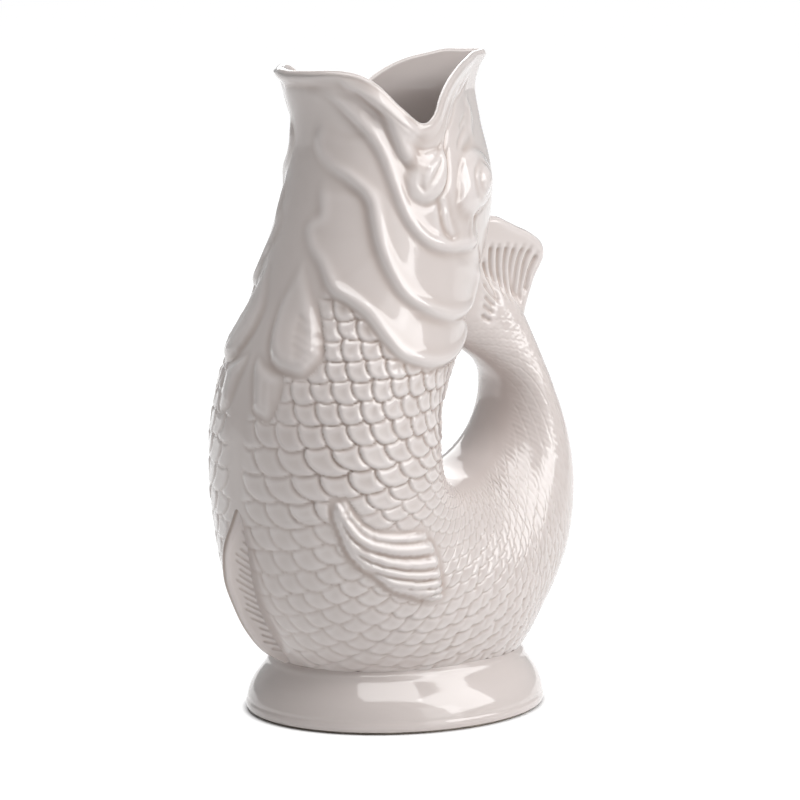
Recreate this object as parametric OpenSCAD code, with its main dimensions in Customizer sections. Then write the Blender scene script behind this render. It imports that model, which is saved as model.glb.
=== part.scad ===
// Gurgle jug: a glazed ceramic fish that stands head up on an oval foot.
// The mouth is the jug's mouth, and the hollow tail curls up behind as the handle.
// Origin: middle of the foot's underside. +Z is up, the pouring lip is at -X, the handle at +X.
// The fish's left side is at -Y. All sizes are in millimetres.

/* [Jug] */
// Height from the table to the tip of the snout
jug_h = 248; // [220:1:280]
// How far the belly reaches in front of the foot's middle
front_reach = 74; // [68:0.5:80]
// How far the tail reaches behind the foot's middle
back_reach = 77; // [72:0.5:84]
// Greatest width across the body
body_w = 96; // [90:0.5:104]
// Wall of the shells
wall_t = 5; // [4:0.25:6]

/* [Mouth] */
// Wall at the rim of the mouth
rim_t = 3.6; // [2.8:0.1:4.4]
// How far the rim rolls outward
lip_flare = 2.4; // [0.5:0.1:4]
// Depth below the rim over which it rolls outward
lip_drop = 9; // [6:0.5:14]

/* [Foot] */
// Length of the oval foot, front to back
foot_l = 119; // [114:0.5:124]
// Width of the oval foot
foot_w = 105; // [100:0.5:112]
// Height of the joint between foot and belly
foot_h = 22; // [19:0.5:25]
// Thickness of the floor
floor_t = 5; // [4:0.25:6]
// Recess under the floor, above the table
recess_h = 4; // [3:0.25:6]
// Height of the unglazed ring that the jug stands on
ring_h = 1; // [0.8:0.1:1.6]
// Width of that ring
ring_w = 6; // [4:0.5:8]
// How far the ring is set in from the edge of the foot's flat underside
ring_inset = 1; // [1:0.5:3]

/* [Gill plates] */
// Thickness of a gill plate at its free edge
gill_t = 2.4; // [1.6:0.1:3]
// Thickness of a gill plate where it starts
gill_root_t = 0.8; // [0.6:0.1:1.4]

/* [Fins] */
// Thickness of the fins on the body
fin_t = 1.8; // [1.2:0.1:2.4]
// Height of the ridges on those fins
ridge_h = 1; // [0.6:0.1:1.4]
// Half thickness of the tail fin at its edge
tail_edge_t = 2.6; // [2:0.1:3.4]
// Half thickness of the tail fin at its root
tail_root_t = 7; // [6:0.25:8]
// How far the front fin stands out from the belly
front_fin_w = 10; // [6:0.5:12]
// How far the rear fin stands out from the belly
rear_fin_w = 4; // [3:0.5:8]
// Half thickness of the front and rear fins at their edge
keel_edge_t = 1.2; // [1:0.1:2]
// Half thickness of the front and rear fins at their root
keel_root_t = 4; // [3:0.25:5]

/* [Eyes] */
// Outer radius of the ring round an eye
eye_ring_r = 11.5; // [10:0.25:12.5]
// Radius of an eyeball
eye_r = 6; // [5:0.25:6.5]
// How far an eye ring stands out
eye_ring_t = 2.6; // [1.8:0.1:3.2]
// How far an eyeball stands out
eye_t = 2.8; // [2:0.1:3.6]
// How far the lobe at the corner of the jaw stands out
jaw_t = 2.4; // [1.8:0.1:3]

/* [Hidden] */

// Glaze and bare clay
glaze = [0.87, 0.83, 0.81];
bare_clay = [0.80, 0.76, 0.71];
// Layer of slip under each applied piece
slip_t = 0.3;
// How far the foot's flat underside stays inside the widest oval
foot_edge_inset = 0.6;

// Sections of the fish from the mouth to the end of the tail. Each row has the outer point
// (belly side) as shares of reach and height, the inner point (back side), the half width as
// a share of half the body's width, and how much the back side is pinched to a ridge.
section_shares = [
    [-0.661, 1.008, 0.540, 1.008, 0.600, 0.82],
    [-0.621, 0.952, 0.485, 0.952, 0.600, 0.80],
    [-0.582, 0.893, 0.515, 0.893, 0.625, 0.70],
    [-0.606, 0.808, 0.570, 0.808, 0.725, 0.50],
    [-0.690, 0.719, 0.510, 0.719, 0.795, 0.35],
    [-0.778, 0.635, 0.370, 0.635, 0.860, 0.25],
    [-0.912, 0.551, 0.250, 0.565, 0.935, 0.12],
    [-0.985, 0.466, 0.125, 0.486, 0.965, 0.05],
    [-1.000, 0.377, 0.100, 0.427, 0.985, 0.00],
    [-0.973, 0.288, 0.115, 0.392, 1.000, 0.00],
    [-0.890, 0.184, 0.150, 0.372, 1.000, 0.00],
    [-0.677, 0.089, 0.185, 0.359, 1.000, 0.00],
    [-0.365, 0.025, 0.240, 0.355, 0.990, 0.00],
    [ 0.025, 0.005, 0.290, 0.355, 0.960, 0.00],
    [ 0.390, 0.020, 0.345, 0.359, 0.900, 0.00],
    [ 0.680, 0.099, 0.407, 0.370, 0.790, 0.00],
    [ 0.915, 0.203, 0.490, 0.389, 0.670, 0.00],
    [ 1.000, 0.308, 0.560, 0.416, 0.560, 0.00],
    [ 0.980, 0.397, 0.600, 0.449, 0.470, 0.00],
    [ 0.895, 0.486, 0.598, 0.484, 0.385, 0.00],
    [ 0.818, 0.555, 0.525, 0.512, 0.300, 0.00],
    [ 0.752, 0.600, 0.440, 0.532, 0.240, 0.00],
    [ 0.632, 0.640, 0.350, 0.550, 0.200, 0.00],
    [ 0.450, 0.674, 0.262, 0.567, 0.190, 0.00]
];
last_station = len(section_shares) - 1;
// Places in that list where the shells join, and where the hollow of the tail ends
neck_place_share = 5;
waist_place_share = 8;
tail_place_share = 17;
hollow_place_share = 22.3;
// Stations that bracket the front and the back of the opening into the foot
opening_stations = [9.5, 13, 17];
// Height of the rim as a share of the jug's height, every ten degrees from lip to snout
rim_shares = [
    0.986, 0.987, 0.988, 0.989, 0.988, 0.981, 0.963, 0.931, 0.907, 0.918,
    0.948, 0.971, 0.986, 0.994, 1.000, 1.000, 1.000, 1.000, 1.000
];
rim_step = 10;
// Foot profile from the bottom up: height share, and spread share from waist to foot
flare_shares = [
    [0.01, 0.98], [0.05, 1.00], [0.13, 0.99], [0.26, 0.93], [0.41, 0.82],
    [0.56, 0.64], [0.71, 0.41], [0.85, 0.19], [0.94, 0.07]
];

// The same for the hollow inside the foot, from the top down
cavity_shares = [[0.80, 0.25], [0.55, 0.60]];

// Facets: columns round half a section, and rows along each shell
half_columns = 24;
columns = 2 * half_columns;
head_rows = 10;
rim_rows = 4;
trunk_rows = 6;
belly_rows = 5;
opening_rows = 16;
tail_rows = 11;
ring_sides = 96;
search_steps = 24;

// One Catmull-Rom step between the second and the third of four values
function smooth(a, b, c, d, f) =
    b + f * (c - a) / 2 + f * f * (2 * a - 5 * b + 4 * c - d) / 2 + f * f * f * (3 * b - a - 3 * c + d) / 2;

// Smooth value of a list at a fractional place
function along(list, place) =
    let (n = len(list) - 1, i = max(0, min(floor(place), n - 1)))
    smooth(list[max(i - 1, 0)], list[i], list[i + 1], list[min(i + 2, n)], place - i);

function reach(share) = share * (share < 0 ? front_reach : back_reach);

// The sections in millimetres
sections = [for (r = section_shares) [
    reach(r[0]), r[1] * jug_h, reach(r[2]), r[3] * jug_h, r[4] * body_w / 2, r[5]
]];

// Point of the fish at a station and an angle from the belly side, moved out by off
function body_point(s, angle, off) =
    let (
        r = along(sections, s),
        half_x = (r[0] - r[2]) / 2,
        half_z = (r[1] - r[3]) / 2,
        half_l = norm([half_x, half_z]),
        grow = (half_l + off) / half_l * cos(angle),
        pinch = 1 - r[5] * pow((1 - cos(angle)) / 2, 3)
    )
    [
        (r[0] + r[2]) / 2 + half_x * grow,
        -(r[4] + off) * sin(angle) * pinch,
        (r[1] + r[3]) / 2 + half_z * grow
    ];

// Rim height at an angle from the lip
function rim_z(angle) = along(rim_shares, abs(angle > 180 ? angle - 360 : angle) / rim_step) * jug_h;

// How far the surface rolls out near the rim
function flare(s, angle) =
    s > neck_place_share ? 0
    : lip_flare * exp(-pow((rim_z(angle) - along(sections, s)[1]) / lip_drop, 2));

function skin(s, angle, off) = body_point(s, angle, off + flare(s, angle));

// Station at which the head is as high as z
function head_station(z, low, high, steps) =
    let (mid = (low + high) / 2)
    steps == 0 ? mid
    : along(sections, mid)[1] > z ? head_station(z, mid, high, steps - 1)
    : head_station(z, low, mid, steps - 1);

// Station at which the lowest line of a shell crosses the foot joint
function crossing(off, low, high, steps) =
    let (mid = (low + high) / 2)
    steps == 0 ? mid
    : (body_point(mid, 0, off)[2] > foot_h) == (body_point(low, 0, off)[2] > foot_h)
    ? crossing(off, mid, high, steps - 1)
    : crossing(off, low, mid, steps - 1);

// Angle at which a section crosses the foot joint, or zero where it lies above
function cut_angle(s, off) =
    let (middle = body_point(s, 90, off)[2], low = body_point(s, 0, off)[2])
    low >= foot_h ? 0 : acos((foot_h - middle) / (low - middle));

// Two triangles for the quad between four points of a grid
function quad(a, b, c, d) = [[a, b, c], [a, c, d]];

function flat_list(lists) = [for (l = lists) each l];

// Solid from rings of equal length, closed on itself
module loop_solid(rings) {
    n = len(rings);
    m = len(rings[0]);
    faces = flat_list([for (i = [0 : n - 1], j = [0 : m - 1])
        quad(i * m + j, ((i + 1) % n) * m + j,
            ((i + 1) % n) * m + (j + 1) % m, i * m + (j + 1) % m)]);
    polyhedron(points = flat_list(rings), faces = faces, convexity = 8);
}

// Solid from rings of equal length, with both end rings closed by a fan to their middle
module cup_solid(rings) {
    n = len(rings);
    m = len(rings[0]);
    first = n * m;
    last = n * m + 1;
    faces = concat(
        flat_list([for (i = [0 : n - 2], j = [0 : m - 1])
            quad(i * m + j, i * m + (j + 1) % m, (i + 1) * m + (j + 1) % m, (i + 1) * m + j)]),
        [for (j = [0 : m - 1]) [first, (j + 1) % m, j]],
        [for (j = [0 : m - 1]) [last, (n - 1) * m + j, (n - 1) * m + (j + 1) % m]]);
    ends = [middle(rings[0]), middle(rings[n - 1])];
    polyhedron(points = concat(flat_list(rings), ends), faces = faces, convexity = 8);
}

function total(list, i = 0) = i == len(list) - 1 ? list[i] : list[i] + total(list, i + 1);
function middle(ring) = total(ring) / len(ring);

// Solid between two grids of points, top and bottom, closed round the edge
module sheet_solid(top, bottom) {
    n = len(top);
    m = len(top[0]);
    b = n * m;
    faces = concat(
        flat_list([for (i = [0 : n - 2], j = [0 : m - 2])
            quad(i * m + j, (i + 1) * m + j, (i + 1) * m + j + 1, i * m + j + 1)]),
        flat_list([for (i = [0 : n - 2], j = [0 : m - 2])
            quad(b + i * m + j, b + i * m + j + 1, b + (i + 1) * m + j + 1, b + (i + 1) * m + j)]),
        flat_list([for (i = [0 : n - 2])
            quad(i * m, b + i * m, b + (i + 1) * m, (i + 1) * m)]),
        flat_list([for (i = [0 : n - 2])
            quad(i * m + m - 1, (i + 1) * m + m - 1, b + (i + 1) * m + m - 1, b + i * m + m - 1)]),
        flat_list([for (j = [0 : m - 2])
            quad(j, j + 1, b + j + 1, b + j)]),
        flat_list([for (j = [0 : m - 2])
            quad((n - 1) * m + j, b + (n - 1) * m + j, b + (n - 1) * m + j + 1, (n - 1) * m + j + 1)]));
    polyhedron(points = concat(flat_list(top), flat_list(bottom)), faces = faces, convexity = 8);
}

// Places of a patch: rows run along two curves of [station, angle], columns run between them
function patch_places(curve_a, curve_b, rows, cols) =
    [for (i = [0 : rows]) let (
        a = along(curve_a, i / rows * (len(curve_a) - 1)),
        b = along(curve_b, i / rows * (len(curve_b) - 1)))
        [for (j = [0 : cols]) a + (b - a) * j / cols]];

// Fish's right side from its left side
module other_side() { mirror([0, 1, 0]) children(); }

// Shells

function section_ring(s, off) =
    [for (j = [0 : columns - 1]) body_point(s, 360 * j / columns, off)];

// Head: rows between the neck and the rim, a rolled rim, and the same rows inside
module head_shell() {
    angles = [for (j = [0 : columns - 1]) 360 * j / columns];
    tops = [for (a = angles) head_station(rim_z(a) - rim_t / 2, 0, neck_place_share, search_steps)];
    function head_point(j, v, off) =
        skin(neck_place_share + (tops[j] - neck_place_share) * v, angles[j], off);
    function inner_off(v) = -wall_t + (wall_t - rim_t) * v * v;
    outer = [for (i = [0 : head_rows]) [for (j = [0 : columns - 1])
        head_point(j, i / head_rows, 0)]];
    rolled = [for (i = [1 : rim_rows - 1]) [for (j = [0 : columns - 1])
        let (turn = 180 * i / rim_rows)
        head_point(j, 1, rim_t / 2 * (cos(turn) - 1)) + [0, 0, rim_t / 2 * sin(turn)]]];
    inner = [for (i = [head_rows : -1 : 0]) [for (j = [0 : columns - 1])
        head_point(j, i / head_rows, inner_off(i / head_rows))]];
    color(glaze)
    loop_solid(concat(outer, rolled, inner));
}

// Trunk: the plain stretch between neck and belly
module trunk_shell() {
    step = (waist_place_share - neck_place_share) / trunk_rows;
    outer = [for (i = [trunk_rows : -1 : 0]) section_ring(neck_place_share + i * step, 0)];
    inner = [for (i = [0 : trunk_rows]) section_ring(neck_place_share + i * step, -wall_t)];
    color(glaze)
    loop_solid(concat(outer, inner));
}

// Stations of the belly's rows, with the opening's own rows close together at its two tips
function belly_stations(off) =
    let (
        front = crossing(off, opening_stations[0], opening_stations[1], search_steps),
        back = crossing(off, opening_stations[1], opening_stations[2], search_steps)
    )
    concat(
        [for (i = [0 : belly_rows - 1]) waist_place_share + (front - waist_place_share) * i / belly_rows],
        [for (i = [0 : opening_rows])
            (front + back) / 2 - (back - front) / 2 * cos(180 * i / opening_rows)],
        [for (i = [1 : belly_rows]) back + (tail_place_share - back) * i / belly_rows]);

// One row of the belly: from the edge of the opening on the left, over the back, to the right
function belly_row(s, off, open) =
    let (start = open ? cut_angle(s, off) : 0)
    [for (j = [0 : columns]) let (
        half = j <= half_columns ? j : columns - j,
        angle = 180 * half / half_columns + start * pow(1 - half / half_columns, 2))
        body_point(s, j <= half_columns ? angle : -angle, off)];

// Belly: bends from the trunk to the tail, and opens into the foot through an oval hole
module belly_shell() {
    first_open = belly_rows + 1;
    last_open = belly_rows + opening_rows - 1;
    function is_open(i) = i >= first_open && i <= last_open;
    function shell_rows(off) =
        let (stations = belly_stations(off))
        [for (i = [0 : len(stations) - 1]) belly_row(stations[i], off, is_open(i))];
    outer = shell_rows(0);
    inner = shell_rows(-wall_t);
    n = len(outer);
    m = columns + 1;
    b = n * m;
    // Outside the opening the last point of a row is its first point
    function at(i, j) = i * m + (j == columns && !is_open(i) ? 0 : j);
    outer_faces = flat_list([for (i = [0 : n - 2], j = [0 : columns - 1])
        quad(at(i, j), at(i, j + 1), at(i + 1, j + 1), at(i + 1, j))]);
    inner_faces = flat_list([for (i = [0 : n - 2], j = [0 : columns - 1])
        quad(b + at(i, j), b + at(i + 1, j), b + at(i + 1, j + 1), b + at(i, j + 1))]);
    joint_faces = flat_list([for (j = [0 : columns - 1]) concat(
        quad(at(0, j), b + at(0, j), b + at(0, j + 1), at(0, j + 1)),
        quad(at(n - 1, j + 1), b + at(n - 1, j + 1), b + at(n - 1, j), at(n - 1, j)))]);
    edge_faces = flat_list([for (i = [first_open - 1 : last_open]) concat(
        quad(at(i, 0), at(i + 1, 0), b + at(i + 1, 0), b + at(i, 0)),
        quad(at(i + 1, columns), at(i, columns), b + at(i, columns), b + at(i + 1, columns)))]);
    color(glaze)
    polyhedron(
        points = concat(flat_list(outer), flat_list(inner)),
        faces = concat(outer_faces, inner_faces, joint_faces, edge_faces),
        convexity = 10);
}

// Tail: hollow up to its closed end against the back of the head
module tail_shell() {
    outer = [for (i = [0 : tail_rows])
        section_ring(tail_place_share + (last_station - tail_place_share) * i / tail_rows, 0)];
    inner = [for (i = [tail_rows : -1 : 0])
        section_ring(tail_place_share + (hollow_place_share - tail_place_share) * i / tail_rows, -wall_t)];
    color(glaze)
    cup_solid(concat(inner, outer));
}

// Foot

// Edge of the opening between belly and foot, once round from the front
function opening_outline(off) =
    let (
        stations = belly_stations(off),
        n = opening_rows,
        right = [for (i = [0 : n]) let (s = stations[belly_rows + i])
            body_point(s, i == 0 || i == n ? 0 : -cut_angle(s, off), off)]
    )
    concat(right, [for (i = [n - 1 : -1 : 1]) [right[i][0], -right[i][1], right[i][2]]]);

// Oval point in the direction of an outline point
function oval_point(p, half_l, half_w) =
    let (turn = atan2(p[1] / half_w, p[0] / half_l))
    [half_l * cos(turn), half_w * sin(turn), 0];

function flat(p) = [p[0], p[1], 0];
function pulled_in(p, by) = flat(p) * (1 - by / norm(flat(p)));

// Foot: a flared oval pedestal with a floor, open to the belly above
module foot() {
    waist = opening_outline(0);
    inner_waist = opening_outline(-wall_t);
    floor_top = recess_h + floor_t;
    function flare_ring(z_share, spread) =
        [for (p = waist) let (o = oval_point(p, foot_l / 2, foot_w / 2))
            flat(p) + (o - flat(p)) * spread + [0, 0, ring_h + (foot_h - ring_h) * z_share]];
    outer = [for (f = flare_shares) flare_ring(f[0], f[1])];
    underside_edge = [for (p = flare_ring(0, flare_shares[0][1]))
        pulled_in(p, ring_inset / 2) + [0, 0, ring_h]];
    recess_edge = [for (p = underside_edge)
        pulled_in(p, ring_inset + ring_w) + [0, 0, ring_h]];
    recess_top = [for (p = recess_edge)
        pulled_in(p, recess_h - ring_h) + [0, 0, recess_h]];
    cavity = [for (f = cavity_shares)
        [for (p = flare_ring(f[0], f[1])) pulled_in(p, wall_t) + [0, 0, p[2]]]];
    floor_edge = [for (p = cavity[1]) pulled_in(p, wall_t / 2) + [0, 0, floor_top]];
    color(glaze)
    cup_solid(concat([recess_top, recess_edge, underside_edge], outer,
        [waist, inner_waist], cavity, [floor_edge]));
}

// Oval outline, pulled in from the foot's size
module foot_oval(by) {
    half_l = foot_l / 2 - by;
    half_w = foot_w / 2 - by;
    polygon([for (i = [0 : ring_sides - 1])
        [half_l * cos(360 * i / ring_sides), half_w * sin(360 * i / ring_sides)]]);
}

// Foot ring: the bare clay oval that the jug stands on
module foot_ring() {
    edge = foot_edge_inset + ring_inset;
    color(bare_clay)
    linear_extrude(ring_h)
    difference() {
        foot_oval(edge);
        foot_oval(edge + ring_w);
    }
}

// Applied pieces on the body

// Gill plates: curves of [station, angle] for the upper side and for the free edge
inner_gill_top_shares = [
    [1.15, 30], [1.25, 42], [1.5, 53], [2.0, 59], [2.5, 62], [2.95, 67], [3.35, 77], [3.5, 90], [3.5, 104]
];
inner_gill_edge_shares = [
    [1.3, 24], [1.65, 39], [2.27, 50], [2.85, 56], [3.3, 61], [3.7, 70], [3.95, 80], [4.05, 92], [4.0, 106]
];
middle_gill_top_shares = [
    [1.8, 20], [1.95, 38], [2.4, 50], [2.97, 56], [3.42, 61], [3.8, 70], [4.05, 80], [4.15, 92], [4.1, 108]
];
middle_gill_edge_shares = [
    [2.25, 12], [2.7, 24], [3.0, 40], [3.7, 50], [4.35, 60], [4.8, 70], [5.12, 84], [5.28, 98], [5.1, 112]
];
outer_gill_top_shares = [
    [2.75, 14], [2.95, 26], [3.25, 42], [3.85, 51], [4.46, 60],
    [4.9, 70], [5.22, 84], [5.38, 98], [5.2, 113]
];
outer_gill_edge_shares = [
    [3.6, 10], [4.2, 24], [4.7, 37], [5.0, 48], [5.25, 57], [5.6, 68], [5.87, 80], [6.08, 96], [6.0, 116]
];
gill_rows = 18;
gill_cols = 4;

module gill_plate(top_curve, edge_curve) {
    places = patch_places(top_curve, edge_curve, gill_rows, gill_cols);
    function thick(j) = gill_root_t + (gill_t - gill_root_t) * j / gill_cols;
    color(glaze)
    sheet_solid(
        [for (row = places) [for (j = [0 : gill_cols]) skin(row[j][0], row[j][1], slip_t + thick(j))]],
        [for (row = places) [for (j = [0 : gill_cols]) skin(row[j][0], row[j][1], slip_t)]]);
}

module inner_gill_left() { gill_plate(inner_gill_top_shares, inner_gill_edge_shares); }
module middle_gill_left() { gill_plate(middle_gill_top_shares, middle_gill_edge_shares); }
module outer_gill_left() { gill_plate(outer_gill_top_shares, outer_gill_edge_shares); }
module inner_gill_right() { other_side() inner_gill_left(); }
module middle_gill_right() { other_side() middle_gill_left(); }
module outer_gill_right() { other_side() outer_gill_left(); }

// Fins on the body: the two long edges of each as curves of [station, angle], root first
pectoral_front_shares = [[4.4, 16], [4.8, 9], [5.2, 7], [5.6, 9], [5.95, 18]];
pectoral_back_shares = [[4.5, 20], [4.95, 28], [5.35, 33], [5.7, 38], [6.05, 34]];
lower_front_shares = [[6.1, 5], [6.3, 6], [6.53, 8], [6.8, 18]];
lower_back_shares = [[6.2, 20], [6.4, 22], [6.6, 23], [6.85, 23]];
pelvic_top_shares = [[8.35, 57], [8.83, 65], [9.22, 77], [9.73, 98]];
pelvic_bottom_shares = [[8.45, 53], [9.38, 55], [10.3, 64], [11.48, 83]];
fin_rows = 8;
pectoral_ridges = 4;
lower_ridges = 3;
pelvic_ridges = 7;
cols_per_ridge = 2;

module body_fin(front_curve, back_curve, ridges) {
    cols = ridges * cols_per_ridge;
    places = patch_places(front_curve, back_curve, fin_rows, cols);
    function thick(j) = fin_t + ridge_h * (j % cols_per_ridge);
    color(glaze)
    sheet_solid(
        [for (row = places) [for (j = [0 : cols]) skin(row[j][0], row[j][1], slip_t + thick(j))]],
        [for (row = places) [for (j = [0 : cols]) skin(row[j][0], row[j][1], slip_t)]]);
}

module pectoral_fin_left() { body_fin(pectoral_back_shares, pectoral_front_shares, pectoral_ridges); }
module lower_fin_left() { body_fin(lower_back_shares, lower_front_shares, lower_ridges); }
module pelvic_fin_left() { body_fin(pelvic_top_shares, pelvic_bottom_shares, pelvic_ridges); }
module pectoral_fin_right() { other_side() pectoral_fin_left(); }
module lower_fin_right() { other_side() lower_fin_left(); }
module pelvic_fin_right() { other_side() pelvic_fin_left(); }

// Eyes and jaw

// Station and angle of an eye's middle
eye_place_shares = [2.95, 117];
eye_sides = 20;
eye_steps = 4;

// Point of the head at a distance and direction from the eye's middle
function eye_point(radius, turn, off) =
    let (
        s = eye_place_shares[0],
        angle = eye_place_shares[1],
        per_station = norm(skin(s + 0.5, angle, 0) - skin(s - 0.5, angle, 0)),
        per_degree = norm(skin(s, angle + 1, 0) - skin(s, angle - 1, 0)) / 2
    )
    skin(s + radius * cos(turn) / per_station, angle + radius * sin(turn) / per_degree, off);

// Ring: a rounded welt round the eyeball
module eye_ring_left() {
    inner_r = eye_r + slip_t;
    rings = [for (i = [0 : eye_sides - 1]) let (turn = 360 * i / eye_sides) concat(
        [for (k = [0 : eye_steps]) let (f = k / eye_steps)
            eye_point(inner_r + (eye_ring_r - inner_r) * f, turn,
                slip_t + gill_root_t + (eye_ring_t - gill_root_t) * sin(180 * f))],
        [eye_point(eye_ring_r, turn, slip_t), eye_point(inner_r, turn, slip_t)])];
    color(glaze) loop_solid(rings);
}

// Eyeball: a low dome
module eyeball_left() {
    ring_shares = [0.1, 0.5, 0.8, 1];
    function dome(radius_share) = slip_t + gill_root_t
        + (eye_t - gill_root_t) * sqrt(1 - radius_share * radius_share);
    rings = concat(
        [for (f = ring_shares) [for (i = [0 : eye_sides - 1])
            eye_point(eye_r * f, 360 * i / eye_sides, dome(f))]],
        [for (f = [1, ring_shares[0]]) [for (i = [0 : eye_sides - 1])
            eye_point(eye_r * f, 360 * i / eye_sides, slip_t)]]);
    color(glaze) cup_solid(rings);
}

// Lobe: the drop at the corner of the jaw, under the end of the upper lip
jaw_front_shares = [[2.3, 84], [2.42, 77], [2.62, 71.5], [2.9, 70.5], [3.15, 75]];
jaw_back_shares = [[2.33, 88], [2.5, 91], [2.8, 90], [3.05, 86], [3.2, 80]];
jaw_rows = 8;
jaw_cols = 4;

module jaw_lobe_left() {
    places = patch_places(jaw_back_shares, jaw_front_shares, jaw_rows, jaw_cols);
    function thick(i, j) = gill_root_t
        + (jaw_t - gill_root_t) * sin(180 * j / jaw_cols) * sin(180 * i / jaw_rows);
    color(glaze)
    sheet_solid(
        [for (i = [0 : jaw_rows]) [for (j = [0 : jaw_cols])
            skin(places[i][j][0], places[i][j][1], slip_t + thick(i, j))]],
        [for (i = [0 : jaw_rows]) [for (j = [0 : jaw_cols])
            skin(places[i][j][0], places[i][j][1], slip_t)]]);
}

module eye_ring_right() { other_side() eye_ring_left(); }
module eyeball_right() { other_side() eyeball_left(); }
module jaw_lobe_right() { other_side() jaw_lobe_left(); }

// Fins in the middle plane

// Solid of a fin that lies in the middle plane, from its root line to its outer edge
module keel_fin(root, edge, cols, root_half_t, edge_half_t, ridges) {
    n = len(root) - 1;
    function thick(i, f) = root_half_t + (edge_half_t - root_half_t) * f
        + (ridges ? ridge_h * (i % 2) * sin(180 * f) : 0);
    function side(sign) = [for (i = [0 : n]) [for (j = [0 : cols]) let (
        f = j / cols,
        p = root[i] + (edge[i] - root[i]) * f)
        [p[0], sign * thick(i, f), p[2]]]];
    color(glaze) sheet_solid(side(1), side(-1));
}

// Tail fin: a fan from the end of the tail, with its inner side against the back of the head.
// The root runs down the back of the head and then out along the tail.
tail_fin_rows = 22;
tail_fin_cols = 5;
head_root_stations = [3.85, 4.42];
tail_root_stations = [23, 20.3];
head_root_part_share = 0.2;
// Outer edge as shares of the tail's reach and of the jug's height
tail_fin_shares = [
    [0.535, 0.743], [0.60, 0.737], [0.68, 0.727], [0.755, 0.719], [0.83, 0.709],
    [0.895, 0.693], [0.905, 0.672], [0.865, 0.645], [0.815, 0.612], [0.795, 0.588]
];

module tail_fin() {
    function root_point(f) =
        f < head_root_part_share
        ? body_point(head_root_stations[0]
            + (head_root_stations[1] - head_root_stations[0]) * f / head_root_part_share, 180, slip_t)
        : body_point(tail_root_stations[0] + (tail_root_stations[1] - tail_root_stations[0])
            * (f - head_root_part_share) / (1 - head_root_part_share), 0, slip_t);
    root = [for (i = [0 : tail_fin_rows]) root_point(i / tail_fin_rows)];
    edge = [for (i = [0 : tail_fin_rows])
        let (e = along(tail_fin_shares, i / tail_fin_rows * (len(tail_fin_shares) - 1)))
        [e[0] * back_reach, 0, e[1] * jug_h]];
    keel_fin(root, edge, tail_fin_cols, tail_root_t, tail_edge_t, true);
}

// Front fin: stands out from the belly down to the foot
keel_rows = 12;
keel_cols = 2;
front_fin_stations = [8.9, 11];
front_fin_shares = [0.1, 0.8, 1, 0.98, 0.86, 0.7, 0.5, 0.3, 0.15];
rear_fin_stations = [15.3, 16.4];
rear_fin_shares = [0.2, 0.7, 1, 0.9, 0.3];

module front_fin() { belly_fin(front_fin_stations, front_fin_w, front_fin_shares); }
module rear_fin() { belly_fin(rear_fin_stations, rear_fin_w, rear_fin_shares); }

// Fin along the outer line of the body between two stations
module belly_fin(stations, fin_w, width_shares) {
    places = [for (i = [0 : keel_rows]) stations[0] + (stations[1] - stations[0]) * i / keel_rows];
    root = [for (s = places) body_point(s, 0, slip_t)];
    edge = [for (i = [0 : keel_rows]) body_point(places[i], 0,
        slip_t + fin_w * along(width_shares, i / keel_rows * (len(width_shares) - 1)))];
    keel_fin(edge, root, keel_cols, keel_edge_t, keel_root_t, true);
}

foot_ring();
foot();
belly_shell();
trunk_shell();
head_shell();
tail_shell();
tail_fin();
front_fin();
rear_fin();
inner_gill_left();
inner_gill_right();
middle_gill_left();
middle_gill_right();
outer_gill_left();
outer_gill_right();
pectoral_fin_left();
pectoral_fin_right();
lower_fin_left();
lower_fin_right();
pelvic_fin_left();
pelvic_fin_right();
eye_ring_left();
eye_ring_right();
eyeball_left();
eyeball_right();
jaw_lobe_left();
jaw_lobe_right();
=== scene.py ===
import math

import bpy
import numpy as np
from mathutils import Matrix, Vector


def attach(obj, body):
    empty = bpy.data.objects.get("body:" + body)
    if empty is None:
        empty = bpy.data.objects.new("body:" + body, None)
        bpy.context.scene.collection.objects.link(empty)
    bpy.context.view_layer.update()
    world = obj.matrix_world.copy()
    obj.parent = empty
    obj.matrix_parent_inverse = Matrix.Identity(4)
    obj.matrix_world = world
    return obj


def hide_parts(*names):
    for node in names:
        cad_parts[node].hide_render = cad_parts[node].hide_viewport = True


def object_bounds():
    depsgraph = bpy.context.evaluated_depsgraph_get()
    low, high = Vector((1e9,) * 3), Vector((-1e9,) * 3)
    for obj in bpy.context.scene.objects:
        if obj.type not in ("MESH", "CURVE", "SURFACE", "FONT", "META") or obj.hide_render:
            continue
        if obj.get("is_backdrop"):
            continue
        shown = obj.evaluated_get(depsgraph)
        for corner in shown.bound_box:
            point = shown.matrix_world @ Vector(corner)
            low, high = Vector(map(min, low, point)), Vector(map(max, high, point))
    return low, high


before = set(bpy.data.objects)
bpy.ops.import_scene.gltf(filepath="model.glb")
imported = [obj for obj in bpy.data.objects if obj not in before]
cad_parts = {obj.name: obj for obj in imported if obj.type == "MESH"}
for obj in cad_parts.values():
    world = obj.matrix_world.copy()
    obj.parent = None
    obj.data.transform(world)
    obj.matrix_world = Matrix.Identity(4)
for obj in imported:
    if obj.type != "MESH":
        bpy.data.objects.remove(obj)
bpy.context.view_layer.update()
scene = bpy.context.scene
MM = 0.001
MIRROR, FLAT, UP = np.array([1, -1, 1]), np.array([1, 1, 0]), np.array([0, 0, 1])

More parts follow.
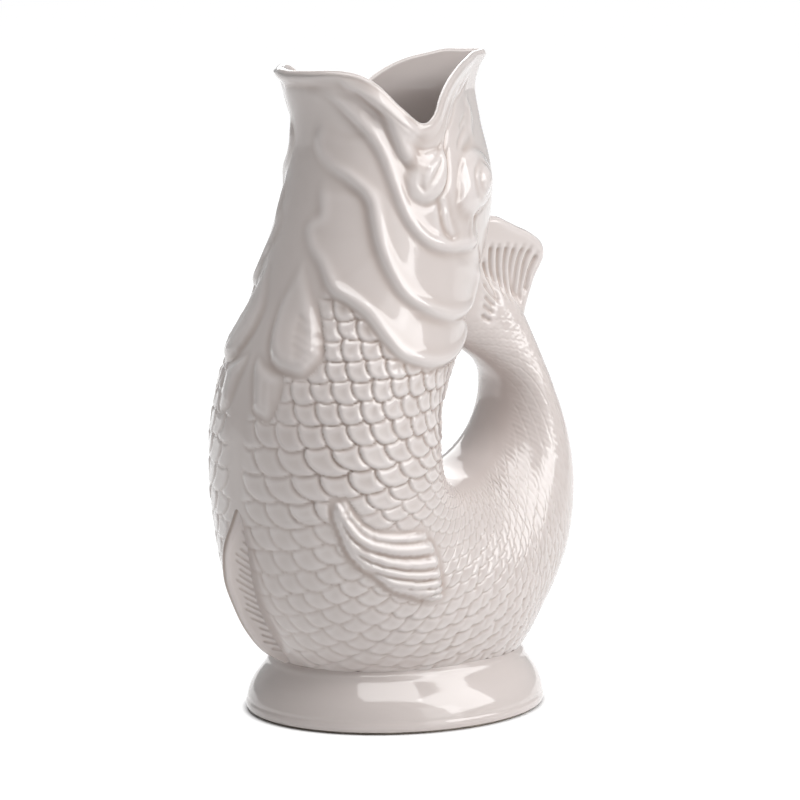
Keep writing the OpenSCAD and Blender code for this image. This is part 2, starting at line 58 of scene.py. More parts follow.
# Sizes, the same as in part.scad
JUG_H, FRONT_REACH, BACK_REACH, BODY_W = 248.0, 74.0, 77.0, 96.0
WALL_T, RIM_T, LIP_FLARE, LIP_DROP = 5.0, 3.6, 2.4, 9.0
FOOT_L, FOOT_W, FOOT_H, FLOOR_T = 119.0, 105.0, 22.0, 5.0
FACET_SAG = 0.3  # the solids' flat facets lie this far inside the true curve
RECESS_H, RING_H, RING_W, RING_INSET, EDGE_INSET = 4.0, 1.0, 6.0, 1.0, 0.6
NECK, WAIST, TAIL, HOLLOW, LAST = 5.0, 8.0, 17.0, 22.3, 23.0
FOOT_FROM, LOWEST = 9.5, 13.0  # stations before the foot's joint and at the fish's lowest point

SECTION_SHARES = np.array([
    [-0.661, 1.008, 0.54, 1.008, 0.6, 0.82], [-0.621, 0.952, 0.485, 0.952, 0.6, 0.8],
    [-0.582, 0.893, 0.515, 0.893, 0.625, 0.7], [-0.606, 0.808, 0.57, 0.808, 0.725, 0.5],
    [-0.69, 0.719, 0.51, 0.719, 0.795, 0.35], [-0.778, 0.635, 0.37, 0.635, 0.86, 0.25],
    [-0.912, 0.551, 0.25, 0.565, 0.935, 0.12], [-0.985, 0.466, 0.125, 0.486, 0.965, 0.05],
    [-1.0, 0.377, 0.1, 0.427, 0.985, 0.0], [-0.973, 0.288, 0.115, 0.392, 1.0, 0.0],
    [-0.89, 0.184, 0.15, 0.372, 1.0, 0.0], [-0.677, 0.089, 0.185, 0.359, 1.0, 0.0],
    [-0.365, 0.025, 0.24, 0.355, 0.99, 0.0], [0.025, 0.005, 0.29, 0.355, 0.96, 0.0],
    [0.39, 0.02, 0.345, 0.359, 0.9, 0.0], [0.68, 0.099, 0.407, 0.37, 0.79, 0.0],
    [0.915, 0.203, 0.49, 0.389, 0.67, 0.0], [1.0, 0.308, 0.56, 0.416, 0.56, 0.0],
    [0.98, 0.397, 0.6, 0.449, 0.47, 0.0], [0.895, 0.486, 0.598, 0.484, 0.385, 0.0],
    [0.818, 0.555, 0.525, 0.512, 0.3, 0.0], [0.752, 0.6, 0.44, 0.532, 0.24, 0.0],
    [0.632, 0.64, 0.35, 0.55, 0.2, 0.0], [0.45, 0.674, 0.262, 0.567, 0.19, 0.0]])
RIM_SHARES = np.array([
    0.986, 0.987, 0.988, 0.989, 0.988, 0.981, 0.963, 0.931, 0.907, 0.918,
    0.948, 0.971, 0.986, 0.994, 1.0, 1.0, 1.0, 1.0, 1.0])
FLARE_SHARES = np.array([
    [0.0, 0.965], [0.01, 0.98], [0.05, 1.0], [0.13, 0.99], [0.26, 0.93], [0.41, 0.82],
    [0.56, 0.64], [0.71, 0.41], [0.85, 0.19], [0.94, 0.07], [1.0, 0.0]])


def along(table, place):
    """Smooth values of a table at fractional places, ends held."""
    table = np.asarray(table, float)
    place = np.asarray(place, float)
    n = len(table) - 1
    i = np.clip(np.floor(place).astype(int), 0, n - 1)
    f = place - i
    if table.ndim > 1:
        f = f[..., None]
    a, b = table[np.maximum(i - 1, 0)], table[i]
    c, d = table[i + 1], table[np.minimum(i + 2, n)]
    return (b + f * (c - a) / 2 + f * f * (2 * a - 5 * b + 4 * c - d) / 2
            + f ** 3 * (3 * b - a - 3 * c + d) / 2)


SECTIONS = SECTION_SHARES.copy()
SECTIONS[:, [0, 2]] *= np.where(SECTIONS[:, [0, 2]] < 0, FRONT_REACH, BACK_REACH)
SECTIONS[:, [1, 3]] *= JUG_H
SECTIONS[:, 4] *= BODY_W / 2


def rim_z(angle):
    return along(RIM_SHARES, np.abs(angle) / 10) * JUG_H


def skin(s, angle, off=0.0, rolled=True):
    """Points of the fish at stations and angles in degrees from the belly side, moved out by off."""
    s, angle = np.broadcast_arrays(np.asarray(s, float), np.asarray(angle, float))
    r = along(SECTIONS, s)
    if rolled:
        roll_out = LIP_FLARE * np.exp(-((rim_z(angle) - r[..., 1]) / LIP_DROP) ** 2)
        off = off + np.where(s > NECK, 0, roll_out)
    t = np.radians(angle)
    half_x, half_z = (r[..., 0] - r[..., 2]) / 2, (r[..., 1] - r[..., 3]) / 2
    half_l = np.hypot(half_x, half_z)
    grow = (half_l + off) / half_l * np.cos(t)
    pinch = 1 - r[..., 5] * ((1 - np.cos(t)) / 2) ** 3
    return np.stack([
        (r[..., 0] + r[..., 2]) / 2 + half_x * grow,
        -(r[..., 4] + off) * np.sin(t) * pinch,
        (r[..., 1] + r[..., 3]) / 2 + half_z * grow], -1)


def bisect(test, low, high, steps=26):
    """Place between low and high where test, true at low, turns false."""
    low, high = np.array(low, float), np.array(high, float)
    for _ in range(steps):
        mid = (low + high) / 2
        ok = test(mid)
        low, high = np.where(ok, mid, low), np.where(ok, high, mid)
    return (low + high) / 2


def smoothstep(x, a=0.0, b=1.0):
    t = np.clip((x - a) / (b - a), 0, 1)
    return t * t * (3 - 2 * t)


def roll(x):
    """Quarter round from 0 to 1."""
    return np.sqrt(1 - (1 - np.clip(x, 0, 1)) ** 2)


def bell(d, w):
    return np.exp(-(d / w) ** 2)


def unit(v, tiny=1e-9):
    return v / (np.linalg.norm(v, axis=-1, keepdims=True) + tiny)


# Grid over the left half of the fish: rows from the rim to the tail's end, columns belly to back
COLS = 208
HEAD_ROWS, TRUNK_ROWS, BELLY_ROWS, REAR_ROWS, OPEN_ROWS, TAIL_ROWS = 158, 104, 84, 46, 84, 156
col_angle = np.linspace(0, 180, COLS + 1)
top_station = bisect(lambda s: along(SECTIONS, s)[..., 1] > rim_z(col_angle) - RIM_T / 2,
                     np.zeros(COLS + 1), np.full(COLS + 1, NECK))


def belly_rows(off, plain, opening, rear):
    """Stations of the belly's rows and the angle where each starts, open towards the foot."""
    def low_z(s):
        return skin(s, 0, off, False)[..., 2]
    front = float(bisect(lambda s: low_z(s) > FOOT_H, FOOT_FROM, LOWEST))
    back = float(bisect(lambda s: low_z(s) < FOOT_H, LOWEST, TAIL))
    turn = np.linspace(0, math.pi, opening + 1)
    s = np.concatenate([
        np.linspace(WAIST, front, plain + 1)[:-1],
        (front + back) / 2 - (back - front) / 2 * np.cos(turn),
        np.linspace(back, TAIL, rear + 1)[1:]])
    middle, low = skin(s, 90, off, False)[:, 2], skin(s, 0, off, False)[:, 2]
    cut = np.degrees(np.arccos(np.clip((FOOT_H - middle) / (low - middle), -1, 1)))
    opened = (np.arange(len(s)) > plain) & (np.arange(len(s)) < plain + opening)
    return s, np.where(opened, cut, 0)


def open_angles(start, base):
    return base[None, :] + start[:, None] * (1 - base[None, :] / 180) ** 2


v = np.linspace(1, 0, HEAD_ROWS + 1)[:, None]
head_s = NECK + (top_station[None, :] - NECK) * v
trunk_s = np.linspace(NECK, WAIST, TRUNK_ROWS + 1)[1:, None] + 0 * col_angle
belly_s, belly_start = belly_rows(0, BELLY_ROWS, OPEN_ROWS, REAR_ROWS)
tail_s = np.linspace(TAIL, LAST, TAIL_ROWS + 1)[1:, None] + 0 * col_angle
S = np.concatenate([head_s, trunk_s, belly_s[1:, None] + 0 * col_angle, tail_s])
A = np.concatenate([
    0 * head_s + col_angle, 0 * trunk_s + col_angle,
    open_angles(belly_start[1:], col_angle), 0 * tail_s + col_angle])
row_neck = HEAD_ROWS
row_waist = row_neck + TRUNK_ROWS
row_tail = row_waist + len(belly_s) - 1
row_last = row_tail + TAIL_ROWS
base = skin(S, A)


def grid_normals(points, start=None):
    """Outward unit normals of a half grid, mirrored across its two long edges."""
    wide = np.concatenate([points[:, 1:2] * MIRROR, points, points[:, -2:-1] * MIRROR], 1)
    across = wide[:, 2:] - wide[:, :-2]
    if start is not None:
        opened = start > 0
        across[opened, 0] = points[opened, 1] - points[opened, 0]
    return unit(np.cross(across, np.gradient(points, axis=0)), 1e-12)


row_start = np.concatenate([np.zeros(row_waist), belly_start, np.zeros(TAIL_ROWS)])
normal = grid_normals(base, row_start)
NORMAL_SIGN = -1.0 if normal[row_waist, COLS // 2, 1] > 0 else 1.0
normal = normal * NORMAL_SIGN


# Lines and regions on the skin
def curve(points, closed=False, steps=6):
    p = np.array(points, float)
    if closed:
        p = np.concatenate([p[-1:], p, p[:2]])
        return along(p, np.linspace(1, len(p) - 2, (len(p) - 3) * steps + 1))
    return along(p, np.linspace(0, len(p) - 1, (len(p) - 1) * steps + 1))


FAR = 40.0  # lines further away than this, in mm, are left out
NO_LINE = 99.0  # stands for the distance where no line is near


def nearest(points, line, limit):
    """Distance of points from a line, held at limit, and the share along the line.
    A limit that is a whole number gives whole distances, rounded down."""
    gap, share = np.full(points.shape[:-1], limit), np.zeros(points.shape[:-1])
    for k in range(len(line) - 1):
        d = line[k + 1] - line[k]
        t = np.clip(((points - line[k]) @ d) / max(d @ d, 1e-9), 0, 1)
        here = np.linalg.norm(points - (line[k] + t[..., None] * d), axis=-1)
        closer = here < gap
        gap[closer] = here[closer]
        share[closer] = (k + t[closer]) / (len(line) - 1)
    return gap, share


def distance(line, limit=FAR):
    """Distance of every grid point from a line of places, and the share along the line."""
    spots = skin(line[:, 0], line[:, 1])
    near = ((base > spots.min(0) - limit) & (base < spots.max(0) + limit)).all(-1)
    gap, share = np.full(S.shape, limit), np.zeros(S.shape)
    gap[near], share[near] = nearest(base[near], spots, limit)
    return gap, share


def inside(line, s=None, a=None):
    """Whether grid places lie inside a closed line of places."""
    s, a = (S, A) if s is None else (s, a)
    hit = np.zeros(s.shape, bool)
    near = ((s >= line[:, 0].min()) & (s <= line[:, 0].max())
            & (a >= line[:, 1].min()) & (a <= line[:, 1].max()))
    x, y = s[near], a[near]
    odd = np.zeros(x.shape, bool)
    for (x1, y1), (x2, y2) in zip(line, np.roll(line, -1, 0)):
        if y1 != y2:
            odd ^= ((y1 > y) != (y2 > y)) & (x < x1 + (y - y1) * (x2 - x1) / (y2 - y1))
    hit[near] = odd
    return hit


# Lines of (station, angle) on the left side
INNER_EDGE = [(4.03, 120), (4.06, 112), (4.05, 95), (3.95, 82), (3.7, 71), (3.33, 62), (2.88, 56),
    (2.27, 50), (1.62, 38), (1.15, 29), (0.9, 18)]
MIDDLE_EDGE = [(4.35, 133), (4.6, 135), (4.95, 137), (5.2, 134), (5.3, 124), (5.3, 108), (5.1, 89),
    (4.78, 72), (4.35, 61), (3.88, 53), (3.45, 48), (3.1, 44), (2.85, 35), (2.73, 28), (2.6, 21),
    (2.38, 14), (2.12, 12), (1.85, 15), (1.6, 20)]
OUTER_EDGE = [(5.4, 139), (5.7, 138), (5.95, 134), (6.1, 124), (6.16, 112), (6.1, 97), (5.88, 80),
    (5.5, 67), (5.12, 56), (4.88, 46), (4.7, 36), (4.45, 30), (4.2, 25), (3.98, 18), (3.78, 14),
    (3.6, 12), (3.45, 15), (3.38, 19), (3.18, 18), (2.98, 17), (2.73, 20)]
INNER_TOP = [(1.15, 30), (1.25, 42), (1.5, 53), (2.0, 59), (2.5, 62), (2.95, 67), (3.35, 77), (3.5, 90),
    (3.5, 104), (3.6, 116)]
PECTORAL = [(4.08, 16), (4.3, 12), (4.55, 9), (4.88, 6), (5.2, 6), (5.53, 8), (5.8, 12), (5.98, 18),
    (6.05, 24), (6.1, 32), (6.03, 36), (5.75, 40), (5.45, 37), (5.15, 33), (4.83, 28), (4.53, 23),
    (4.28, 19)]
PECTORAL_STROKES = [
    [(5.1, 22), (5.25, 29)], [(5.22, 22), (5.4, 31)], [(5.32, 22), (5.52, 34)],
    [(5.45, 23), (5.66, 36)], [(5.58, 24), (5.8, 36)], [(5.72, 26), (5.92, 36)],
    [(5.85, 27), (6.02, 35)]]
LOWER_LEAF = [(5.83, 4), (6.05, 4), (6.3, 6), (6.55, 8), (6.75, 10), (6.85, 16), (6.85, 20), (6.7, 22),
    (6.48, 23), (6.28, 23), (6.12, 22), (6.03, 16), (5.93, 10)]
LOWER_STROKES = [[(6.12, 8), (6.62, 12)], [(6.2, 14), (6.7, 16)], [(6.25, 18), (6.65, 20)]]
PELVIC = [(8.28, 53), (8.28, 57), (8.33, 60), (8.68, 64), (9.03, 70), (9.3, 82), (9.65, 98), (9.9, 101),
    (10.48, 102), (10.93, 97), (11.33, 90), (11.32, 85), (10.78, 78), (10.28, 70), (9.9, 66), (9.6, 60),
    (9.3, 56), (8.97, 54), (8.6, 52)]
PELVIC_RIDGES = [
    [(8.35, 59), (8.72, 63), (9.08, 70), (9.35, 81), (9.7, 98)],
    [(8.43, 56), (8.85, 60), (9.22, 66), (9.55, 77), (10.15, 98)],
    [(8.5, 54), (9.0, 57), (9.35, 63), (9.75, 74), (10.55, 96)],
    [(8.58, 53), (9.25, 58), (9.58, 64), (9.98, 74), (10.85, 95)],
    [(9.47, 58), (9.75, 64), (10.12, 72), (11.03, 92)],
    [(9.68, 60), (9.95, 65), (10.3, 72), (11.15, 90)],
    [(9.9, 64), (10.18, 68), (10.6, 76), (11.28, 87)]]
JAW = [(2.45, 72), (2.58, 69), (2.73, 66), (2.86, 65), (3.0, 66), (3.12, 68), (3.2, 73), (3.2, 78),
    (3.12, 83), (3.03, 86), (2.88, 89), (2.7, 91), (2.48, 92), (2.35, 90), (2.35, 82), (2.38, 76)]
ALMOND = [(2.43, 85), (2.55, 78), (2.73, 74), (2.9, 72.5), (2.98, 73.5), (2.88, 77.5), (2.7, 82),
    (2.53, 86)]
EYE_BAG = [(2.48, 114), (2.6, 104), (2.83, 99), (3.1, 98), (3.3, 98), (3.43, 102), (3.5, 108),
    (3.45, 115), (3.35, 126), (3.25, 135), (3.05, 138), (2.88, 140), (2.7, 135), (2.55, 126)]
EYE = [(2.65, 119), (2.78, 110), (2.98, 108), (3.15, 110), (3.28, 116), (3.2, 124), (3.08, 131),
    (2.88, 130), (2.73, 124)]
PUPIL = [(2.73, 121), (2.8, 114), (2.98, 112), (3.18, 116), (3.1, 124), (2.93, 126), (2.8, 124)]
LIP_GROOVE = [(0.8, 40), (1.0, 48), (1.33, 55), (1.53, 58), (2.0, 60), (2.27, 62), (2.45, 64),
    (2.55, 68), (2.48, 74)]
LIP_BAND = LIP_GROOVE + [(2.23, 76), (1.95, 82), (1.7, 87), (1.35, 90), (0.9, 92), (0.0, 92),
                         (0.0, 40)]
GROOVES = [
    # line, depth, half width
    ([(1.7, 54), (1.35, 50), (1.05, 44), (0.93, 28), (0.88, 12)], 0.6, 2.0),
    ([(0.8, 140), (1.15, 125), (1.33, 115), (1.73, 106), (2.05, 98), (2.35, 93), (2.62, 90),
      (2.8, 88)], 0.55, 0.6),
    ([(0.75, 130), (1.12, 119), (1.33, 112), (1.8, 101), (2.12, 96), (2.38, 92)], 0.45, 0.55),
    ([(2.3, 96), (2.62, 92), (2.98, 89), (3.28, 91), (3.55, 93), (3.83, 98)], 0.65, 0.7),
    ([(3.15, 84), (3.4, 86), (3.6, 88), (3.78, 92), (3.85, 96)], 1.3, 1.1),
    ([(3.5, 94), (3.73, 98), (3.85, 98)], 0.4, 0.55),
    ([(2.15, 92), (2.33, 88), (2.43, 85)], 0.4, 0.5),
    ([(3.53, 108), (3.68, 108), (3.85, 108), (3.98, 112)], 0.5, 0.6),
    ([(3.45, 115), (3.58, 113), (3.73, 112), (3.9, 114)], 0.9, 0.7),
    ([(3.3, 138), (3.4, 124), (3.48, 116)], 0.5, 0.6),
    ([(1.75, 124), (1.9, 116), (2.02, 112)], 0.45, 0.7),
    ([(2.02, 119), (2.18, 110), (2.35, 104)], 0.5, 0.8),
    ([(2.25, 124), (2.35, 114), (2.43, 108)], 0.4, 1.1),
    ([(4.05, 124), (4.2, 131), (4.35, 136)], 0.6, 0.8),
    ([(3.95, 150), (4.25, 146), (4.6, 142), (5.23, 141), (5.73, 141), (6.1, 142)], 0.7, 1.0)]
RIDGES = [
    ([(2.55, 105), (2.5, 110), (2.48, 119), (2.56, 129), (2.72, 138), (2.93, 143), (3.05, 147)],
     0.9, 1.1),
    ([(1.4, 130), (1.65, 134), (1.95, 130), (2.15, 124)], 0.5, 2.2),
    ([(3.35, 88), (3.6, 91), (3.8, 95)], 0.5, 1.1)]


def soften(field, times=1):
    for _ in range(times):
        wide = np.pad(field, 1, mode="edge")
        wide[:, 0], wide[:, -1] = wide[:, 2], wide[:, -3]
        field = (4 * wide[1:-1, 1:-1]
                 + 2 * (wide[:-2, 1:-1] + wide[2:, 1:-1] + wide[1:-1, :-2] + wide[1:-1, 2:])
                 + wide[:-2, :-2] + wide[:-2, 2:] + wide[2:, :-2] + wide[2:, 2:]) / 16
    return field


FRONT_LOSS = 0.62  # share of a plate's height that is lost at its front
EDGE_ROUND, EDGE_ROUND_FRONT = 2.4, 2.2  # rounding of its free edge, and how much wider it is in front
EDGE_ROLL_IN, EDGE_ROLL_W = 2.5, 2.2  # place and width of the swelling along its edge
PLATE_DIP = 0.25


def terrace(edge, closing, rise, reach, soft_from, soft_to):
    """Height of a plate: it rises towards its free edge, swells there and rounds off.
    Its amount falls between the shares soft_from and soft_to of the edge, at the front."""
    line = curve(edge)
    gap, share = distance(line)
    within = inside(np.concatenate([line, np.array(closing, float)]))
    front = smoothstep(share, soft_from, soft_to)
    fade = smoothstep(share, 0, 0.06) * smoothstep(1 - share, 0, 0.1) * (1 - FRONT_LOSS * front)
    edge_r = EDGE_ROUND + EDGE_ROUND_FRONT * front
    swell = 0.66 * np.exp(-(gap / reach) ** 1.3) + 0.42 * bell(gap - EDGE_ROLL_IN, EDGE_ROLL_W)
    up = fade * rise * swell * roll(gap / edge_r) ** 0.9
    down = -PLATE_DIP * fade * bell(gap, 1.0)
    return np.where(within, up, 0), np.where(within, 0, down), within, gap


inner_h, inner_dip, inner_in, _ = terrace(
    INNER_EDGE, [(0.0, 18), (0.0, 150), (4.03, 150)], 2.5, 13, 0.72, 0.92)
middle_h, middle_dip, middle_in, _ = terrace(
    MIDDLE_EDGE, [(0.0, 20), (0.0, 160), (4.35, 160)], 2.7, 15, 0.6, 0.8)
outer_h, outer_dip, outer_in, outer_gap = terrace(
    OUTER_EDGE, [(0.0, 20), (0.0, 160), (5.40, 160)], 2.8, 15, 0.45, 0.66)
height = np.maximum(np.maximum(inner_h, middle_h), outer_h)
height += inner_dip + middle_dip * ~inner_in + outer_dip * ~middle_in


PATCH_REACH = 20  # a whole number, so gaps within it are whole millimetres
DOME_PASSES = 900


def plateau(region, rise, edge_r):
    """A raised patch with a rounded edge, its gap to the edge, and whether a point is in it."""
    line = curve(region, True)
    gap, _ = distance(line, PATCH_REACH)
    within = inside(line)
    return np.where(within, rise * smoothstep(gap / edge_r) ** 0.7, 0), gap, within


def stroke(gap, share, depth, width, run_in, least):
    """Depth of a stroke, which fades to the share least of itself towards both ends."""
    ends = np.minimum(smoothstep(share, -0.02, run_in), smoothstep(1 - share, -0.02, run_in))
    return depth * bell(gap, width) * (least + (1 - least) * ends)


def groove(line, depth, width):
    gap, share = distance(curve(line, steps=5), 6 * width)
    return stroke(gap, share, depth, width, 0.12, 0.25)


def window(mask, before, after):
    """Slices of the rows and columns that hold a mask, and some more before and after them."""
    spans = [np.where(mask.any(axis))[0] for axis in (1, 0)]
    return tuple(slice(span[0] - before, span[-1] + 1 + after) for span in spans)


def dome(line, rise, power=0.5):
    """Smooth swelling over a closed region, highest in its middle, whether a point is in the
    region, and the gap to its edge."""
    edge = curve(line, True, 8)
    within = inside(edge)
    box = window(within, 1, 1)
    part = within[box]
    h = np.zeros(part.shape)
    for _ in range(DOME_PASSES):
        h[1:-1, 1:-1] = (h[:-2, 1:-1] + h[2:, 1:-1] + h[1:-1, :-2] + h[1:-1, 2:]) / 4 + 1
        h = np.where(part, h, 0)
    out = np.zeros(S.shape)
    out[box] = rise * (h / h.max()) ** power
    return out, within, distance(edge)[0]


# Lip band, jaw lobe and almond
LIP_RISE, LIP_ROUND, LIP_DIP, LIP_SIDE = 2.7, 3.6, 0.75, 6.5
JAW_RISE, JAW_DIP = 3.1, 0.75
ALMOND_RISE, ALMOND_SINK, ALMOND_LINE = 0.9, 0.45, 0.85
lip_in = inside(curve(LIP_BAND, True))
lip_gap = distance(curve(LIP_GROOVE))[0]
lip_side = distance(curve(LIP_BAND[len(LIP_GROOVE):-1]))[0]
lip_h = LIP_RISE * roll(lip_gap / LIP_ROUND) * smoothstep(lip_side / LIP_SIDE)
height += np.where(lip_in, lip_h * smoothstep(S, 0.2, 1.2),
                   -LIP_DIP * bell(lip_gap, 1.5) * smoothstep(S, 0.9, 1.4))
height = soften(height, 2)
jaw_h, jaw_in, jaw_gap = dome(JAW, JAW_RISE, 0.45)
height = np.where(jaw_in, np.maximum(height, jaw_h), height - JAW_DIP * bell(jaw_gap, 1.2))
height = soften(height, 2)
almond_h, almond_in, almond_gap = dome(ALMOND, ALMOND_RISE)
height += soften(np.where(almond_in, almond_h - ALMOND_SINK, 0)) - ALMOND_LINE * bell(almond_gap, 0.65)

# Eye: bag, lid ring and ball
BAG_RISE, BAG_DIP, EYE_LINE, LID_RISE = 3.4, 0.25, 0.8, 0.35
BALL_RISE, BALL_SINK, PUPIL_LINE = 2.1, 0.5, 0.75
bag_h, bag_in, bag_gap = dome(EYE_BAG, BAG_RISE, 0.55)
eye_edge = curve(EYE, True, 8)
eye_gap, eye_in = distance(eye_edge)[0], inside(eye_edge)
ball_h, pupil_in, pupil_gap = dome(PUPIL, BALL_RISE)
height += soften(bag_h, 4) - BAG_DIP * bell(bag_gap, 0.9) * ~bag_in
height -= EYE_LINE * bell(eye_gap, 0.65) - LID_RISE * bell(eye_gap - 1.3, 0.8) * eye_in
height += soften(np.where(pupil_in, ball_h - BALL_SINK, 0), 2) - PUPIL_LINE * bell(pupil_gap, 0.6)

for line, depth, width in GROOVES:
    height -= groove(line, depth, width)
for line, rise, width in RIDGES:
    height += groove(line, rise, width)

# Pectoral fin, its strokes, and the leaf below it
PECTORAL_EDGE, LEAF_RISE, LEAF_EDGE = 3.6, 1.3, 3.0
STROKE_DEPTH, LEAF_STROKE_DEPTH, STROKE_W = 0.6, 0.35, 0.7
pect_h, pect_gap, pect_in = plateau(PECTORAL, 1.0, PECTORAL_EDGE)
pect_rise = 0.5 + 1.9 * smoothstep(S, 4.2, 5.9)
strokes = sum(groove(line, STROKE_DEPTH, STROKE_W) for line in PECTORAL_STROKES)
height = np.where(pect_in, np.maximum(height * 0.3, 0) + pect_h * pect_rise - strokes,
                  height - 0.3 * bell(pect_gap, 1.0) * smoothstep(S, 4.6, 5.4))
leaf_h, leaf_gap, leaf_in = plateau(LOWER_LEAF, LEAF_RISE, LEAF_EDGE)
leaf_h = leaf_h * (1 - 0.6 * smoothstep(A, 12, 22))
strokes = sum(groove(line, LEAF_STROKE_DEPTH, STROKE_W) for line in LOWER_STROKES)
height = np.where(leaf_in, leaf_h - strokes, height - 0.25 * bell(leaf_gap, 0.9))
height = soften(height, 2)

# Pelvic fin: a fan of curved ridges with hollows between them
FAN_RISE, FAN_EDGE, FAN_RIDGE_RISE, FAN_RIDGE_W = 0.7, 3.6, 1.6, 3.2
fan_h, fan_gap, fan_in = plateau(PELVIC, FAN_RISE, FAN_EDGE)
ridge_gaps = np.sort(np.stack([distance(curve(line), PATCH_REACH)[0] for line in PELVIC_RIDGES]), 0)
phase = ridge_gaps[0] / (ridge_gaps[0] + ridge_gaps[1] + 1e-6)
fan_ridges = np.cos(math.pi * np.clip(phase, 0, 0.5)) ** 1.3 * bell(ridge_gaps[0], FAN_RIDGE_W)
fan_ridges = FAN_RIDGE_RISE * fan_ridges * smoothstep(fan_gap, -0.3, 2.0)
height = np.where(fan_in, height * 0.2 + fan_h + fan_ridges, height)

# Scales: rows of skewed cells, their free edges at the left and towards the tail
ROWS_PER_STATION = np.array([
    [0, 2.8], [5, 2.8], [6.2, 2.8], [6.75, 2.7], [7.1, 2.4], [7.6, 2.13], [8.3, 2.1], [9, 2.7],
    [10, 3.2], [12, 3.3], [14, 3.6], [15, 4.2], [16, 5.0], [17, 5.4], [19, 5.6], [23, 6.2]])
FINE_STEPS = 2300
fine = np.linspace(0, LAST, FINE_STEPS + 1)
density = np.interp(fine, ROWS_PER_STATION[:, 0], ROWS_PER_STATION[:, 1])
row_sum = np.concatenate([[0], np.cumsum((density[1:] + density[:-1]) / 2 * np.diff(fine))])
ROW_ZERO = 6.56  # station of the corner of row 0
TAIL_SLANT = 2.6
q = np.interp(S, fine, row_sum) - np.interp(ROW_ZERO, fine, row_sum)
q = q + TAIL_SLANT * smoothstep(S, 14.5, 18) * (132 - A) / 110
FIRST_ROW, LAST_ROW = -30, 90
ROW_ZERO_ANGLE = 43
row_at = np.arange(FIRST_ROW, LAST_ROW)
cell_width = np.interp(row_at, [-9, -1, 0, 1, 2, 3, 5, 8, 16, 23, 30, 36, 50, 70],
                       [8.5, 10, 11, 12, 13.6, 14, 11.5, 9, 8, 8, 11, 16, 23, 25])
cell_skew = np.interp(row_at, [-2, 0, 1, 2, 3, 5, 26, 40],
                      [0.5, 0.45, 0.45, 0.6, 0.6, 0.56, 0.5, 0.35])
corner = np.concatenate([[0], np.cumsum(cell_width * cell_skew)[:-1]])
corner += ROW_ZERO_ANGLE - corner[-FIRST_ROW]


def slopes(field):
    """Change of a grid field per millimetre on the surface, as vectors."""
    down, across = np.gradient(base, axis=0), np.gradient(base, axis=1)
    by_down, by_across = np.gradient(field, axis=0), np.gradient(field, axis=1)
    e, f, g = (down * down).sum(-1), (down * across).sum(-1), (across * across).sum(-1)
    area = e * g - f * f + 1e-6
    vector = (((by_down * g - by_across * f) / area)[..., None] * down
              + ((by_across * e - by_down * f) / area)[..., None] * across)
    return np.moveaxis(vector, -1, 0)


q_slope, a_slope = slopes(q), slopes(A)
row_length = 1 / (np.linalg.norm(q_slope, axis=0) + 1e-6)
smile = np.interp(A, [40, 95, 180], [0.34, 0.5, 0.5])
ARC = 1.7
SKEW_WOBBLE, DROP_WOBBLE, TONE_WOBBLE = 0.16, 0.06, 0.1  # each scale differs a little from the next
SCALE_GROOVE, SCALE_LIP = 0.36, 0.1  # depth of the lines between scales, height of their edges
SCALE_SINK = 0.35


def cell_level(k, n, x, y, skew, x_slope):
    """Level of a cell, 1 on its free edge, at x widths and y rows from its corner, and 1 / slope."""
    skew = ARC * skew * (1 + SKEW_WOBBLE * np.sin(5.1 * n + 3.7 * k))
    drop = 1 + DROP_WOBBLE * np.sin(3.3 * n + 2.1 * k)
    lead = np.maximum((skew - x) / skew, 0)
    low = np.maximum(y, 0) / drop
    past = np.clip(x - skew, 0, 1.2)
    root = np.sqrt(lead ** 2 + low ** 2) + 1e-6
    by_x = -lead / skew / root + 2 * smile * past
    by_y = low / drop / root
    slope = np.linalg.norm(by_x * x_slope + by_y * q_slope, axis=0) + 0.02
    return root + smile * past ** 2, 1 / slope


found = np.zeros(S.shape, bool)
best_in, best_out = np.full(S.shape, NO_LINE), np.full(S.shape, NO_LINE)
cell_tone = np.zeros(S.shape)
for step in (-1, 0, 1):
    k = np.clip(np.floor(q).astype(int) + step, FIRST_ROW, LAST_ROW - 1)
    width, skew = cell_width[k - FIRST_ROW], cell_skew[k - FIRST_ROW]
    y = q - k
    place = (A - corner[k - FIRST_ROW]) / width
    n = np.floor(place)
    x = place - n
    x_slope = a_slope / width
    (next_level, next_mm), (level, mm), (back_level, back_mm) = [
        cell_level(k, n + i, x - i, y, skew, x_slope) for i in (1, 0, -1)]
    own = ~found & (level < 1)
    behind = ~found & ~own & (back_level < 1)
    open_still = ~found & ~own & ~behind
    best_in = np.where(own, (1 - level) * mm, np.where(behind, (1 - back_level) * back_mm, best_in))
    gap_next, gap_own = (next_level - 1) * next_mm, (level - 1) * mm
    best_out = np.where(own, np.minimum(best_out, gap_next), best_out)
    best_out = np.where(behind, np.minimum(best_out, gap_own), best_out)
    all_gaps = np.minimum(np.minimum(gap_next, gap_own), (back_level - 1) * back_mm)
    best_out = np.where(open_still, np.minimum(best_out, all_gaps), best_out)
    cell_tone = np.where(own | behind, np.sin(7.3 * (n - behind) + 4.1 * k), cell_tone)
    found |= own | behind
best_out = np.maximum(best_out, 0)
FULL_ROW = 8  # length of a row, in mm, from which its scales have their full relief
small = np.clip(row_length / FULL_ROW, 0.35, 1)
tilt = 0.34 + 0.66 * np.exp(-best_in / (row_length * 0.5))
scale_h = (tilt * roll(best_in / (1.5 * small)) * (1 + TONE_WOBBLE * cell_tone)
           - SCALE_GROOVE * bell(best_out, 0.7 * small)
           + SCALE_LIP * bell(best_out - 1.7 * small, 0.9 * small)) * small ** 0.6

